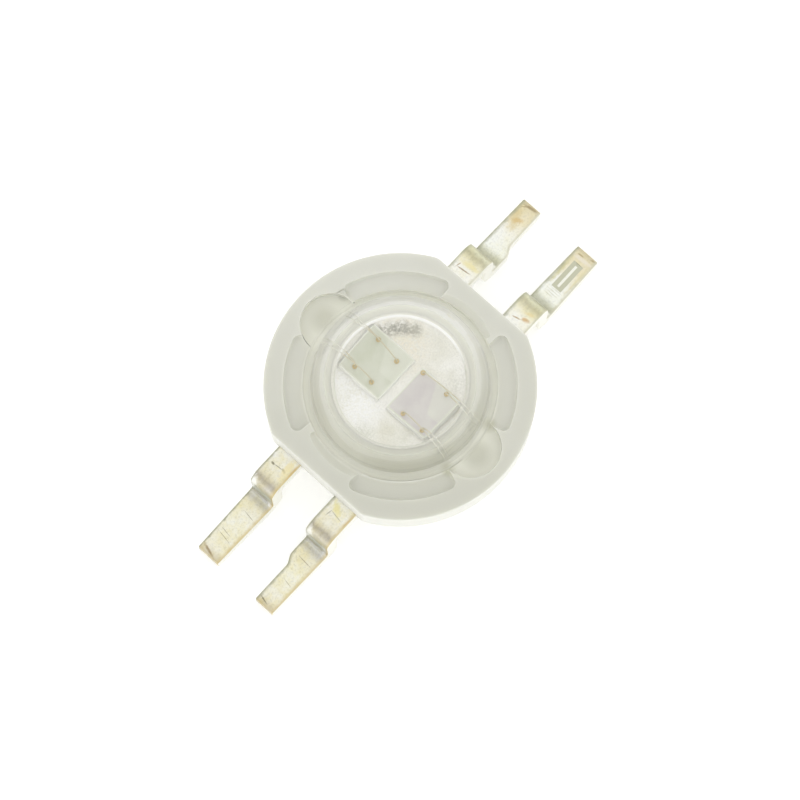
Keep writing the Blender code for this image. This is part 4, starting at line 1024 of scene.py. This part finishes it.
for index, (start, end) in enumerate(LEDGE_SPANS):
    lead_side, ear_side = (3, 0) if index % 2 == 0 else (0, 3)
    inner = arc((0, 0), 2.82, end - ear_side, start + lead_side)
    outer = [(x, y, 0) for x, y in arc((0, 0), LEDGE_RADIUS, start + 5, end - 5)]
    first, last = arc((0, 0), LEDGE_RADIUS, start, end, 180)[::2]
    outline = rounded([(*inner[-1], 0), (*first, LEDGE_CORNER)] + outer + [(*last, LEDGE_CORNER),
        (*inner[0], 0)])
    tool = plate_solid("ledge_%d" % (index + 1), outline + inner[1:-1], BODY_TOP - LEDGE_DEPTH,
        ABOVE + 0.3, 0.13)
    combine(body, "DIFFERENCE", tool)
for side in (1, -1):
    outline = arc((CRESCENT_CENTRE, 0), CRESCENT_RADIUS, -CRESCENT_HALF_ANGLE, CRESCENT_HALF_ANGLE)
    (start_x, start_y), (end_x, end_y) = outline[0], outline[-1]
    outline = rounded(
        [(2.3, start_y * 0.8, 0), (start_x, start_y, 0.09)] + [(x, y, 0) for x, y in outline[2:-2]]
        + [(end_x, end_y, 0.09), (2.3, end_y * 0.8, 0)], 30)
    outline = [(side * x, side * y) for x, y in outline]
    tool = plate_solid("crescent_%d" % side, outline, CRESCENT_FLOOR, BODY_TOP + 0.1,
        spread=CRESCENT_SPREAD)
    combine(body, "DIFFERENCE", tool)
for side in (1, -1):
    outline = ear_outline(RECESS_RADIUS, POCKET_LOBE, POCKET_FILLET, side)
    combine(body, "DIFFERENCE", plate_solid("ear_pocket_%d" % side, outline, SEAT + 0.006, ABOVE + 0.2,
        0.05))
# The mould's insert has left a fine witness line beside one of the pockets.
line = []
for inset in (0.0, WITNESS_WIDTH):
    ring = WITNESS_RING - inset
    flank = ear_flank(ring, POCKET_LOBE - inset, WITNESS_FILLET + inset)[0]
    line.append([(1.04, math.sqrt(ring ** 2 - 1.04 ** 2))] + flank)
WITNESS_DEPTH = 0.05
combine(body, "DIFFERENCE", plate_solid(
    "witness_line", line[0] + line[1][::-1], BODY_TOP - WITNESS_DEPTH, ABOVE + 0.4))
for side_x, side_y, narrow_foot in LEAD_CORNERS.values():
    grow = 0.008
    inner, outer = ARM_INNER_RADIUS - grow, ARM_OUTER_RADIUS + grow
    inner_y, outer_y, end_x = LEAD_INNER_Y - grow, LEAD_OUTER_Y + grow, ARM_END_X - grow
    outline = [(5.0, inner_y), (5.0, outer_y)]
    outline += arc((0, 0), outer, math.degrees(math.asin(outer_y / outer)),
        math.degrees(math.acos(end_x / outer)))
    outline += arc((0, 0), inner, math.degrees(math.acos(end_x / inner)),
        math.degrees(math.asin(inner_y / inner)))
    outline = [(side_x * x, side_y * y) for x, y in outline]
    slot = plate_solid("lead_slot", outline, LEAD_TOP - LEAD_THICKNESS - grow, LEAD_TOP + grow)
    combine(body, "DIFFERENCE", slot)
finish_solid(body, white_nylon)
smooth(body, 30.0)
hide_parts("housing")
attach(body, "root")


# ---------------------------------------------------------------- chips and their adhesive
# Two sapphire chips, sawn square, each pressed into a dab of silver-filled epoxy on the
# cup's floor, so that a little of it stands round the chip as a dull grey fillet.
CHIP_SIDE = 1.08
CHIP_THICKNESS = 0.12
CHIP_BOTTOM = 2.56
CHIP_TOP = CHIP_BOTTOM + CHIP_THICKNESS
MESA_INSET = 0.035
MESA_HEIGHT = 0.008
GLUE_SPREAD = 0.018
GLUE_HEIGHT = 0.040
CHIP_MIDDLES = {1: 0.65, 2: -0.65}
PLACING_SLIP = 0.03             # the placing machine has set both chips this far off, along X and Y


def square_ring(form, half, z, y, wave=0.0, seed=0.0):
    """A ring of vertices round a square, at 24 to a side. A wave makes its line uneven."""
    steps, corner_share, corner_cut = 24, 0.08, 0.02
    ring = []
    for side in range(4):
        turn = math.pi / 2 * side
        for index in range(steps):
            slip = -1 + 2 * index / steps
            corner = min(1.0, (1 - abs(slip)) / corner_share)
            out = half * (1 - corner_cut * (1 - corner) ** 2)
            ripple = math.sin(5.1 * slip + 2.3 * side + seed)
            ripple += 0.6 * math.sin(11.0 * slip - side + 2 * seed)
            out += wave * ripple / 1.6
            a, b = out, half * slip
            ring.append(form.verts.new((
                (a * math.cos(turn) - b * math.sin(turn)) * MM,
                (y + a * math.sin(turn) + b * math.cos(turn)) * MM, z * MM)))
    return ring


def stacked_rings(name, rings_of, finish):
    """A solid skinned over rings from the bottom to the top, closed at both ends."""
    form = bmesh.new()
    rings = rings_of(form)
    for low, high in zip(rings, rings[1:]):
        for index in range(len(low)):
            after = (index + 1) % len(low)
            form.faces.new((low[index], low[after], high[after], high[index]))
    form.faces.new(reversed(rings[0]))
    form.faces.new(rings[-1])
    bmesh.ops.recalc_face_normals(form, faces=form.faces)
    mesh = bpy.data.meshes.new(name)
    form.to_mesh(mesh)
    form.free()
    mesh.materials.append(finish)
    piece = bpy.data.objects.new(name, mesh)
    bpy.context.scene.collection.objects.link(piece)
    smooth(piece, 30.0)
    return piece


# Silver-filled epoxy: it gives a dull, slightly lumpy surface with fine bright flakes, drawn
# near white, lighter than its grey, as painted light in the shade round the chips.
silver_epoxy, tree, output = new_material("silver_filled_epoxy")
place = add_node(tree, "ShaderNodeTexCoord").outputs["Object"]
flakes = add_node(tree, "ShaderNodeTexNoise", {
    "Vector": place, "Scale": 1 / (0.02 * MM), "Detail": 3.0, "Roughness": 0.7}).outputs["Fac"]
tone = add_node(tree, "ShaderNodeMix", {
    "Factor": flakes, 6: linear("ecebe4"), 7: linear("ffffff")}, data_type="RGBA").outputs[2]
relief = add_node(tree, "ShaderNodeBump", {
    "Height": flakes, "Strength": 0.5, "Distance": 0.006 * MM}).outputs["Normal"]
epoxy = add_node(tree, "ShaderNodeBsdfPrincipled", {
    "Base Color": tone, "Metallic": 0.1, "Roughness": 0.45, "Normal": relief})
tree.links.new(epoxy.outputs[0], output.inputs["Surface"])

for number, y in CHIP_MIDDLES.items():
    def glue_rings(form, y=y, seed=2.4 * number):
        half = CHIP_SIDE / 2
        return [
            square_ring(form, half + GLUE_SPREAD, CUP_FLOOR + 0.008, y, 0.012, seed),
            square_ring(form, half + GLUE_SPREAD * 0.8, CUP_FLOOR + 0.016, y, 0.010, seed),
            square_ring(form, half + GLUE_SPREAD * 0.4, CUP_FLOOR + 0.028, y, 0.006, seed),
            square_ring(form, half + 0.003, CUP_FLOOR + GLUE_HEIGHT, y, 0.0, seed),
            square_ring(form, half - 0.010, CUP_FLOOR + GLUE_HEIGHT - 0.002, y, 0.0, seed),
        ]
    glue = stacked_rings("chip_adhesive_%d" % number, glue_rings, silver_epoxy)
    glue.data.transform(Matrix.Translation((PLACING_SLIP * MM, PLACING_SLIP * MM, 0)))
    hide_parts("die_attach_%d" % number)
    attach(glue, "root")

CHIP_TONES = {1: ("c4c8b2", "d3d5c6"), 2: ("c7c1c0", "d5d2cd")}
for number, y in CHIP_MIDDLES.items():
    # Sawn and polished sapphire with a thin grown layer on top: it gives a smooth, pale grey face
    #     with a faint cast, a paler saw street round its edge, and a soft triangular painted glint.
    #     Its sides are drawn near white as painted light in the shade round them.
    sapphire, tree, output = new_material("sapphire_chip_%d" % number)
    place = add_node(tree, "ShaderNodeTexCoord").outputs["Object"]
    place = add_node(tree, "ShaderNodeMapping", {
        "Vector": place, "Location": (-PLACING_SLIP * MM, -(y + PLACING_SLIP) * MM, 0)}).outputs[0]
    clouds = add_node(tree, "ShaderNodeTexNoise", {
        "Vector": place, "Scale": 1 / (0.5 * MM), "Detail": 3.0, "Roughness": 0.6}).outputs["Fac"]
    dark, light = CHIP_TONES[number]
    clouds = add_node(tree, "ShaderNodeMapRange",
        {"Value": clouds, "From Min": 0.35, "From Max": 0.65}).outputs[0]
    tone = add_node(tree, "ShaderNodeMix", {
        "Factor": clouds, 6: linear(dark), 7: linear(light)}, data_type="RGBA").outputs[2]
    parts = add_node(tree, "ShaderNodeSeparateXYZ", {0: place}).outputs
    glint = add_node(tree, "ShaderNodeVectorMath", {0: place, 1: (0.45, -0.9, 0.0)},
        operation="DOT_PRODUCT")
    glint = add_node(tree, "ShaderNodeMapRange", {
        "Value": glint.outputs["Value"], "From Min": 0.10 * MM, "From Max": 0.14 * MM,
        "To Max": 0.45}).outputs[0]
    glint = add_node(tree, "ShaderNodeMath", {
        0: glint, 1: add_node(tree, "ShaderNodeMath", {0: parts["X"], 1: -0.1 * MM},
        operation="GREATER_THAN").outputs[0],
    }, operation="MULTIPLY").outputs[0]
    tone = add_node(tree, "ShaderNodeMix", {
        "Factor": glint, 6: tone, 7: linear("dcded0")}, data_type="RGBA").outputs[2]
    far_x = add_node(tree, "ShaderNodeMath", {0: parts["X"]}, operation="ABSOLUTE").outputs[0]
    far_y = add_node(tree, "ShaderNodeMath", {0: parts["Y"]}, operation="ABSOLUTE").outputs[0]
    far = add_node(tree, "ShaderNodeMath", {0: far_x, 1: far_y}, operation="MAXIMUM").outputs[0]
    street = add_node(tree, "ShaderNodeMath", {
        0: far, 1: (CHIP_SIDE / 2 - MESA_INSET) * MM}, operation="GREATER_THAN").outputs[0]
    tone = add_node(tree, "ShaderNodeMix", {
        "Factor": street, 6: tone, 7: linear("dddfd0")}, data_type="RGBA").outputs[2]
    painted_light_sides = add_node(tree, "ShaderNodeMath", {
        0: far, 1: (CHIP_SIDE / 2 - 0.005) * MM}, operation="GREATER_THAN").outputs[0]
    tone = add_node(tree, "ShaderNodeMix", {
        "Factor": painted_light_sides, 6: tone, 7: linear("fcfdf6")}, data_type="RGBA").outputs[2]
    grit = add_node(tree, "ShaderNodeTexNoise", {
        "Vector": place, "Scale": 1 / (0.03 * MM), "Detail": 2.0}).outputs["Fac"]
    relief = add_node(tree, "ShaderNodeBump", {
        "Height": grit, "Strength": 0.2, "Distance": 0.002 * MM}).outputs["Normal"]
    chip_face = add_node(tree, "ShaderNodeBsdfPrincipled", {
        "Base Color": tone, "Roughness": 0.3, "IOR": 1.77, "Normal": relief})
    tree.links.new(chip_face.outputs[0], output.inputs["Surface"])

    def chip_rings(form, y=y):
        half = CHIP_SIDE / 2
        mesa = half - MESA_INSET
        top = CHIP_TOP - MESA_HEIGHT
        return [
            square_ring(form, half - 0.004, CHIP_BOTTOM, y),
            square_ring(form, half, CHIP_BOTTOM + 0.004, y),
            square_ring(form, half, top - 0.003, y), square_ring(form, half - 0.003, top, y),
            square_ring(form, mesa + 0.002, top, y), square_ring(form, mesa, CHIP_TOP, y),
        ]
    chip = stacked_rings("sapphire_chip_%d" % number, chip_rings, sapphire)
    chip.data.transform(Matrix.Translation((PLACING_SLIP * MM, PLACING_SLIP * MM, 0)))
    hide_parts("die_%d" % number)
    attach(chip, "root")


# ---------------------------------------------------------------- bond wires
# Eight gold wires, about 0.03 mm thick. Each is ball bonded to a pad on a chip, looped over
# the cup's rim, and stitched flat on the arm of a lead.
WIRE_RADIUS = 0.0125
BALL_RADIUS = 0.052
BALL_HEIGHT = 0.045
NECK_HEIGHT = 0.10
LOOP_RISE = 0.42
LOOP_CLEAR = 1.45
STITCH_RADII = (1.962, 2.082)
STITCH_FOOT = 0.07
WIRE_LEVEL = 1.916
# Each chip's balls, as shares of its half side, with the angle of the stitch from Y
BALLS_OF_CHIP = {
    1: ((0.67, 0.48, 10.6), (0.52, -0.55, 13.9), (-0.66, 0.48, -7.9), (-0.68, -0.38, -11.1)),
    2: ((0.87, -0.37, 14.8), (0.86, 0.85, 17.9), (-0.82, -0.69, -12.4), (-0.79, 0.34, -15.6)),
}


def bonding_rule():
    """Geometry Nodes that bond one wire: ball, neck, loop and the flattened stitch."""
    tree = bpy.data.node_groups.new("bonded_wire", "GeometryNodeTree")
    sockets = tree.interface
    sockets.new_socket("Geometry", in_out="INPUT", socket_type="NodeSocketGeometry")
    for name in ("Ball Place", "Stitch Place", "Outward"):
        sockets.new_socket(name, in_out="INPUT", socket_type="NodeSocketVector")
    for name in ("Wire Radius", "Ball Radius", "Ball Height", "Neck Height", "Loop Rise", "Loop Clear",
            "Foot"):
        sockets.new_socket(name, in_out="INPUT", socket_type="NodeSocketFloat")
    sockets.new_socket("Finish", in_out="INPUT", socket_type="NodeSocketMaterial")
    sockets.new_socket("Geometry", in_out="OUTPUT", socket_type="NodeSocketGeometry")
    given = add_node(tree, "NodeGroupInput").outputs

    def raised(place, by):
        up = add_node(tree, "ShaderNodeCombineXYZ", {"Z": by}).outputs[0]
        return add_node(tree, "ShaderNodeVectorMath", {0: place, 1: up}, operation="ADD").outputs[0]

    def along(place, way, length):
        step = add_node(tree, "ShaderNodeVectorMath", {0: way, "Scale": length},
            operation="SCALE").outputs[0]
        return add_node(tree, "ShaderNodeVectorMath", {0: place, 1: step}, operation="ADD").outputs[0]

    def times(value, factor):
        return add_node(tree, "ShaderNodeMath", {0: value, 1: factor}, operation="MULTIPLY").outputs[0]

    neck = raised(given["Ball Place"], given["Neck Height"])
    back = times(given["Foot"], -1.0)
    over = along(raised(given["Stitch Place"], given["Loop Clear"]), given["Outward"], back)
    loop = add_node(tree, "GeometryNodeCurvePrimitiveBezierSegment", {
        "Resolution": 40, "Start": neck, "Start Handle": raised(neck, given["Loop Rise"]),
        "End Handle": over, "End": given["Stitch Place"]}, mode="POSITION").outputs[0]
    post = add_node(tree, "GeometryNodeCurvePrimitiveLine", {
        "Start": given["Ball Place"], "End": neck}).outputs[0]
    foot_end = along(given["Stitch Place"], given["Outward"], given["Foot"])
    foot = add_node(tree, "GeometryNodeCurvePrimitiveLine", {
        "Start": given["Stitch Place"], "End": foot_end}).outputs[0]
    lines = add_node(tree, "GeometryNodeJoinGeometry")
    for line in (loop, post, foot):
        tree.links.new(line, lines.inputs[0])
    outline = add_node(tree, "GeometryNodeCurvePrimitiveCircle", {
        "Resolution": 10, "Radius": given["Wire Radius"]}).outputs[0]
    drawn = add_node(tree, "GeometryNodeCurveToMesh", {
        "Curve": lines.outputs[0], "Profile Curve": outline, "Fill Caps": True}).outputs[0]

    ball = add_node(tree, "GeometryNodeMeshUVSphere", {
        "Segments": 20, "Rings": 12, "Radius": given["Ball Radius"]}).outputs[0]
    squash = add_node(tree, "ShaderNodeMath", {
        0: given["Ball Height"], 1: times(given["Ball Radius"], 2.0)}, operation="DIVIDE").outputs[0]
    ball_size = add_node(tree, "ShaderNodeCombineXYZ", {"X": 1.0, "Y": 1.0, "Z": squash}).outputs[0]
    ball_middle = raised(given["Ball Place"], times(given["Ball Height"], 0.5))
    ball = add_node(tree, "GeometryNodeTransform", {
        "Geometry": ball, "Translation": ball_middle, "Scale": ball_size}).outputs[0]
    cone = add_node(tree, "GeometryNodeMeshCone", {
        "Vertices": 16, "Radius Top": given["Wire Radius"],
        "Radius Bottom": times(given["Ball Radius"], 0.6),
        "Depth": times(given["Ball Height"], 0.9)}).outputs[0]
    cone = add_node(tree, "GeometryNodeTransform", {
        "Geometry": cone, "Translation": raised(given["Ball Place"],
        times(given["Ball Height"], 0.8))}).outputs[0]
    stitch = add_node(tree, "GeometryNodeMeshUVSphere", {
        "Segments": 16, "Rings": 8, "Radius": given["Wire Radius"]}).outputs[0]
    stitch_size = add_node(tree, "ShaderNodeCombineXYZ", {"X": 2.4, "Y": 3.4, "Z": 0.45}).outputs[0]
    stitch = add_node(tree, "GeometryNodeTransform", {
        "Geometry": stitch, "Translation": raised(foot_end, times(given["Wire Radius"], -0.5)),
        "Scale": stitch_size}).outputs[0]
    joined = add_node(tree, "GeometryNodeJoinGeometry")
    for form in (drawn, ball, cone, stitch):
        tree.links.new(form, joined.inputs[0])
    real = add_node(tree, "GeometryNodeRealizeInstances", {"Geometry": joined.outputs[0]})
    finished = add_node(tree, "GeometryNodeSetMaterial", {
        "Geometry": real.outputs[0], "Material": given["Finish"]})
    add_node(tree, "NodeGroupOutput", {"Geometry": finished.outputs[0]})
    return tree


# Drawn gold: it gives a warm yellow gleam. The balls are drawn brown and the loops pale, as
# painted reflection of the dark cup and the white surroundings, and past the cup's rim the
# wire is drawn pale and matte, near the body's tone.
drawn_gold, tree, output = new_material("drawn_gold_wire")
place = add_node(tree, "ShaderNodeTexCoord").outputs["Object"]
shade = add_node(tree, "ShaderNodeTexNoise", {
    "Vector": place, "Scale": 1 / (0.15 * MM), "Detail": 2.0}).outputs["Fac"]
height = add_node(tree, "ShaderNodeSeparateXYZ", {0: place}).outputs["Z"]
loop_part = add_node(tree, "ShaderNodeMapRange", {
    "Value": height, "From Min": 2.72 * MM, "From Max": 2.76 * MM}).outputs["Result"]
ball_tone = add_node(tree, "ShaderNodeMix", {
    "Factor": shade, 6: linear("c2a86c"), 7: linear("dfcc98")}, data_type="RGBA").outputs[2]
loop_painted_reflection_tone = add_node(tree, "ShaderNodeMix", {
    "Factor": shade, 6: linear("bfb696"), 7: linear("e2dcc4")}, data_type="RGBA").outputs[2]
tone = add_node(tree, "ShaderNodeMix", {
    "Factor": loop_part, 6: ball_tone, 7: loop_painted_reflection_tone}, data_type="RGBA").outputs[2]
from_axis = add_node(tree, "ShaderNodeVectorMath", {
    0: add_node(tree, "ShaderNodeVectorMath", {0: place, 1: (1, 1, 0)},
    operation="MULTIPLY").outputs[0],
}, operation="LENGTH").outputs["Value"]
veiled = add_node(tree, "ShaderNodeMapRange", {
    "Value": from_axis, "From Min": 1.32 * MM, "From Max": 1.44 * MM}).outputs["Result"]
tone = add_node(tree, "ShaderNodeMix", {
    "Factor": veiled, 6: tone, 7: linear("dfded3")}, data_type="RGBA").outputs[2]
shine = add_node(tree, "ShaderNodeMapRange",
    {"Value": veiled, "To Min": 0.7, "To Max": 0.0}).outputs["Result"]
gold = add_node(tree, "ShaderNodeBsdfPrincipled", {
    "Base Color": tone, "Metallic": shine, "Roughness": 0.4})
tree.links.new(gold.outputs[0], output.inputs["Surface"])

BONDING = bonding_rule()
number = 0
for chip, balls in BALLS_OF_CHIP.items():
    side = 1 if chip == 1 else -1
    for index, (share_x, share_y, angle) in enumerate(balls):
        number += 1
        radius = STITCH_RADII[index % 2]
        turn = math.radians(angle)
        wire = bpy.data.objects.new("gold_bond_wire_%d" % number,
            bpy.data.meshes.new("gold_bond_wire_%d" % number))
        bpy.context.scene.collection.objects.link(wire)
        sizes = {
            "Wire Radius": WIRE_RADIUS, "Ball Radius": BALL_RADIUS, "Ball Height": BALL_HEIGHT,
            "Neck Height": NECK_HEIGHT, "Loop Rise": LOOP_RISE, "Loop Clear": LOOP_CLEAR,
            "Foot": STITCH_FOOT}
        given = {name: value * MM for name, value in sizes.items()}
        given["Ball Place"] = (
            (PLACING_SLIP + share_x * CHIP_SIDE / 2) * MM,
            (CHIP_MIDDLES[chip] + PLACING_SLIP + share_y * CHIP_SIDE / 2) * MM, (CHIP_TOP - 0.001) * MM)
        given["Stitch Place"] = (
            radius * math.sin(turn) * MM, side * radius * math.cos(turn) * MM, WIRE_LEVEL * MM)
        given["Outward"] = (0.0, float(side), 0.0)
        given["Finish"] = drawn_gold
        plain_mesh(wire, BONDING, **given)
        smooth(wire, 50.0)
        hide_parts("bond_wire_%d" % number)
        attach(wire, "root")


# ---------------------------------------------------------------- lens
# A clear cap moulded in epoxy: a dome on a flange, hollow below, with an ear on each side
# that lies in the body's pocket. It is set over the cup before the gel is let in.
LENS_BOTTOM = 2.46
DOME_CENTRE = 2.55
DOME_RADIUS = 2.6798
HOLLOW_RADIUS = 2.082
FLANGE_RADIUS = 2.85
FLANGE_TOP = 2.98
EAR_TOP = 2.79
EAR_LOBE = 0.894
EAR_FILLET = 0.136


def clear_resin(name, tint, roughness, ior, waves):
    """A clear moulded material: it bends light as glass does, and lets the lamps' rays
    straight through, so that what lies inside it is lit as it is in the open."""
    material, tree, output = new_material(name)
    place = add_node(tree, "ShaderNodeTexCoord").outputs["Object"]
    ripple = add_node(tree, "ShaderNodeTexNoise", {
        "Vector": place, "Scale": 1 / (0.9 * MM), "Detail": 2.0}).outputs["Fac"]
    relief = add_node(tree, "ShaderNodeBump", {
        "Height": ripple, "Strength": waves, "Distance": 0.01 * MM}).outputs["Normal"]
    resin = add_node(tree, "ShaderNodeBsdfPrincipled", {
        "Base Color": tint, "Roughness": roughness, "IOR": ior, "Transmission Weight": 1.0,
        "Normal": relief})
    open_way = add_node(tree, "ShaderNodeBsdfTransparent", {"Color": tint})
    path = add_node(tree, "ShaderNodeLightPath").outputs
    lit = add_node(tree, "ShaderNodeMixShader", {
        0: path["Is Diffuse Ray"], 1: resin.outputs[0], 2: open_way.outputs[0]})
    lit = add_node(tree, "ShaderNodeMixShader", {
        0: path["Is Shadow Ray"], 1: lit.outputs[0], 2: open_way.outputs[0]})
    tree.links.new(lit.outputs[0], output.inputs["Surface"])
    return material


# Clear epoxy from a polished mould: it gives a glassy face with a very slight ripple.
clear_epoxy = clear_resin("clear_moulded_epoxy", linear("fffffe"), 0.01, 1.5, 0.08)

rim = math.degrees(math.asin((FLANGE_TOP - DOME_CENTRE) / DOME_RADIUS))
dome = arc((0, DOME_CENTRE), DOME_RADIUS, 90, rim, 2.0)
hollow = arc((0, DOME_CENTRE), HOLLOW_RADIUS, 0, 90, 2.5)
lens = turned("clear_lens", (
    [(0.0, DOME_CENTRE + DOME_RADIUS)] + dome[1:] + rounded([
        dome[-1] + (0,), (FLANGE_RADIUS, FLANGE_TOP, 0.06), (FLANGE_RADIUS, LENS_BOTTOM, 0.03),
        (HOLLOW_RADIUS, LENS_BOTTOM, 0.02), hollow[0] + (0,)])[1:]
    + hollow[1:-1] + [(0.0, DOME_CENTRE + HOLLOW_RADIUS)]))
for side in (1, -1):
    outline = ear_outline(FLANGE_RADIUS - 0.02, EAR_LOBE, EAR_FILLET, side)
    combine(lens, "UNION", plate_solid("lens_ear_%d" % side, outline, LENS_BOTTOM, EAR_TOP, 0.0, 0.05))
finish_solid(lens, clear_epoxy)
smooth(lens, 32.0)
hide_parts("lens")
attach(lens, "root")


# ---------------------------------------------------------------- gel filling
# Clear silicone gel, let in under the lens and cured. It wets the cup, the chips, the wires
# and the trough, so its lower faces are drawn a little way inside them, and its dome a
# little way inside the lens.
SINK = 0.03
gel_top = arc((0, DOME_CENTRE), HOLLOW_RADIUS + 0.02, 0, 90, 2.5)[::-1]
clear_gel = clear_resin("clear_silicone_gel", linear("fffffe"), 0.0, 1.5, 0.0)
gel = turned("clear_gel_filling", (
    [(0.0, DOME_CENTRE + HOLLOW_RADIUS + 0.02)] + gel_top[1:] + [
        (HOLLOW_RADIUS + 0.02, LENS_BOTTOM + 0.02), (FLANGE_RADIUS - 0.03, LENS_BOTTOM + 0.02),
        (FLANGE_RADIUS - 0.03, SEAT - SINK), (TROUGH_RADIUS + SINK, SEAT - SINK),
        (TROUGH_RADIUS + SINK, LEAD_TOP - SINK), (COLLAR_RADIUS - SINK, LEAD_TOP - SINK),
        (COLLAR_RADIUS - SINK, COLLAR_TOP - SINK), (NECK_RADIUS - SINK, COLLAR_TOP - SINK),
        (NECK_RADIUS - SINK, SLUG_TOP - SINK), (CUP_RIM_RADIUS + SINK, SLUG_TOP - SINK),
        (CUP_FLOOR_RADIUS + SINK, CUP_FLOOR - SINK), (0.0, CUP_FLOOR - SINK)]), clear_gel)
to_metres(gel)
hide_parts("encapsulant")
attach(gel, "root")
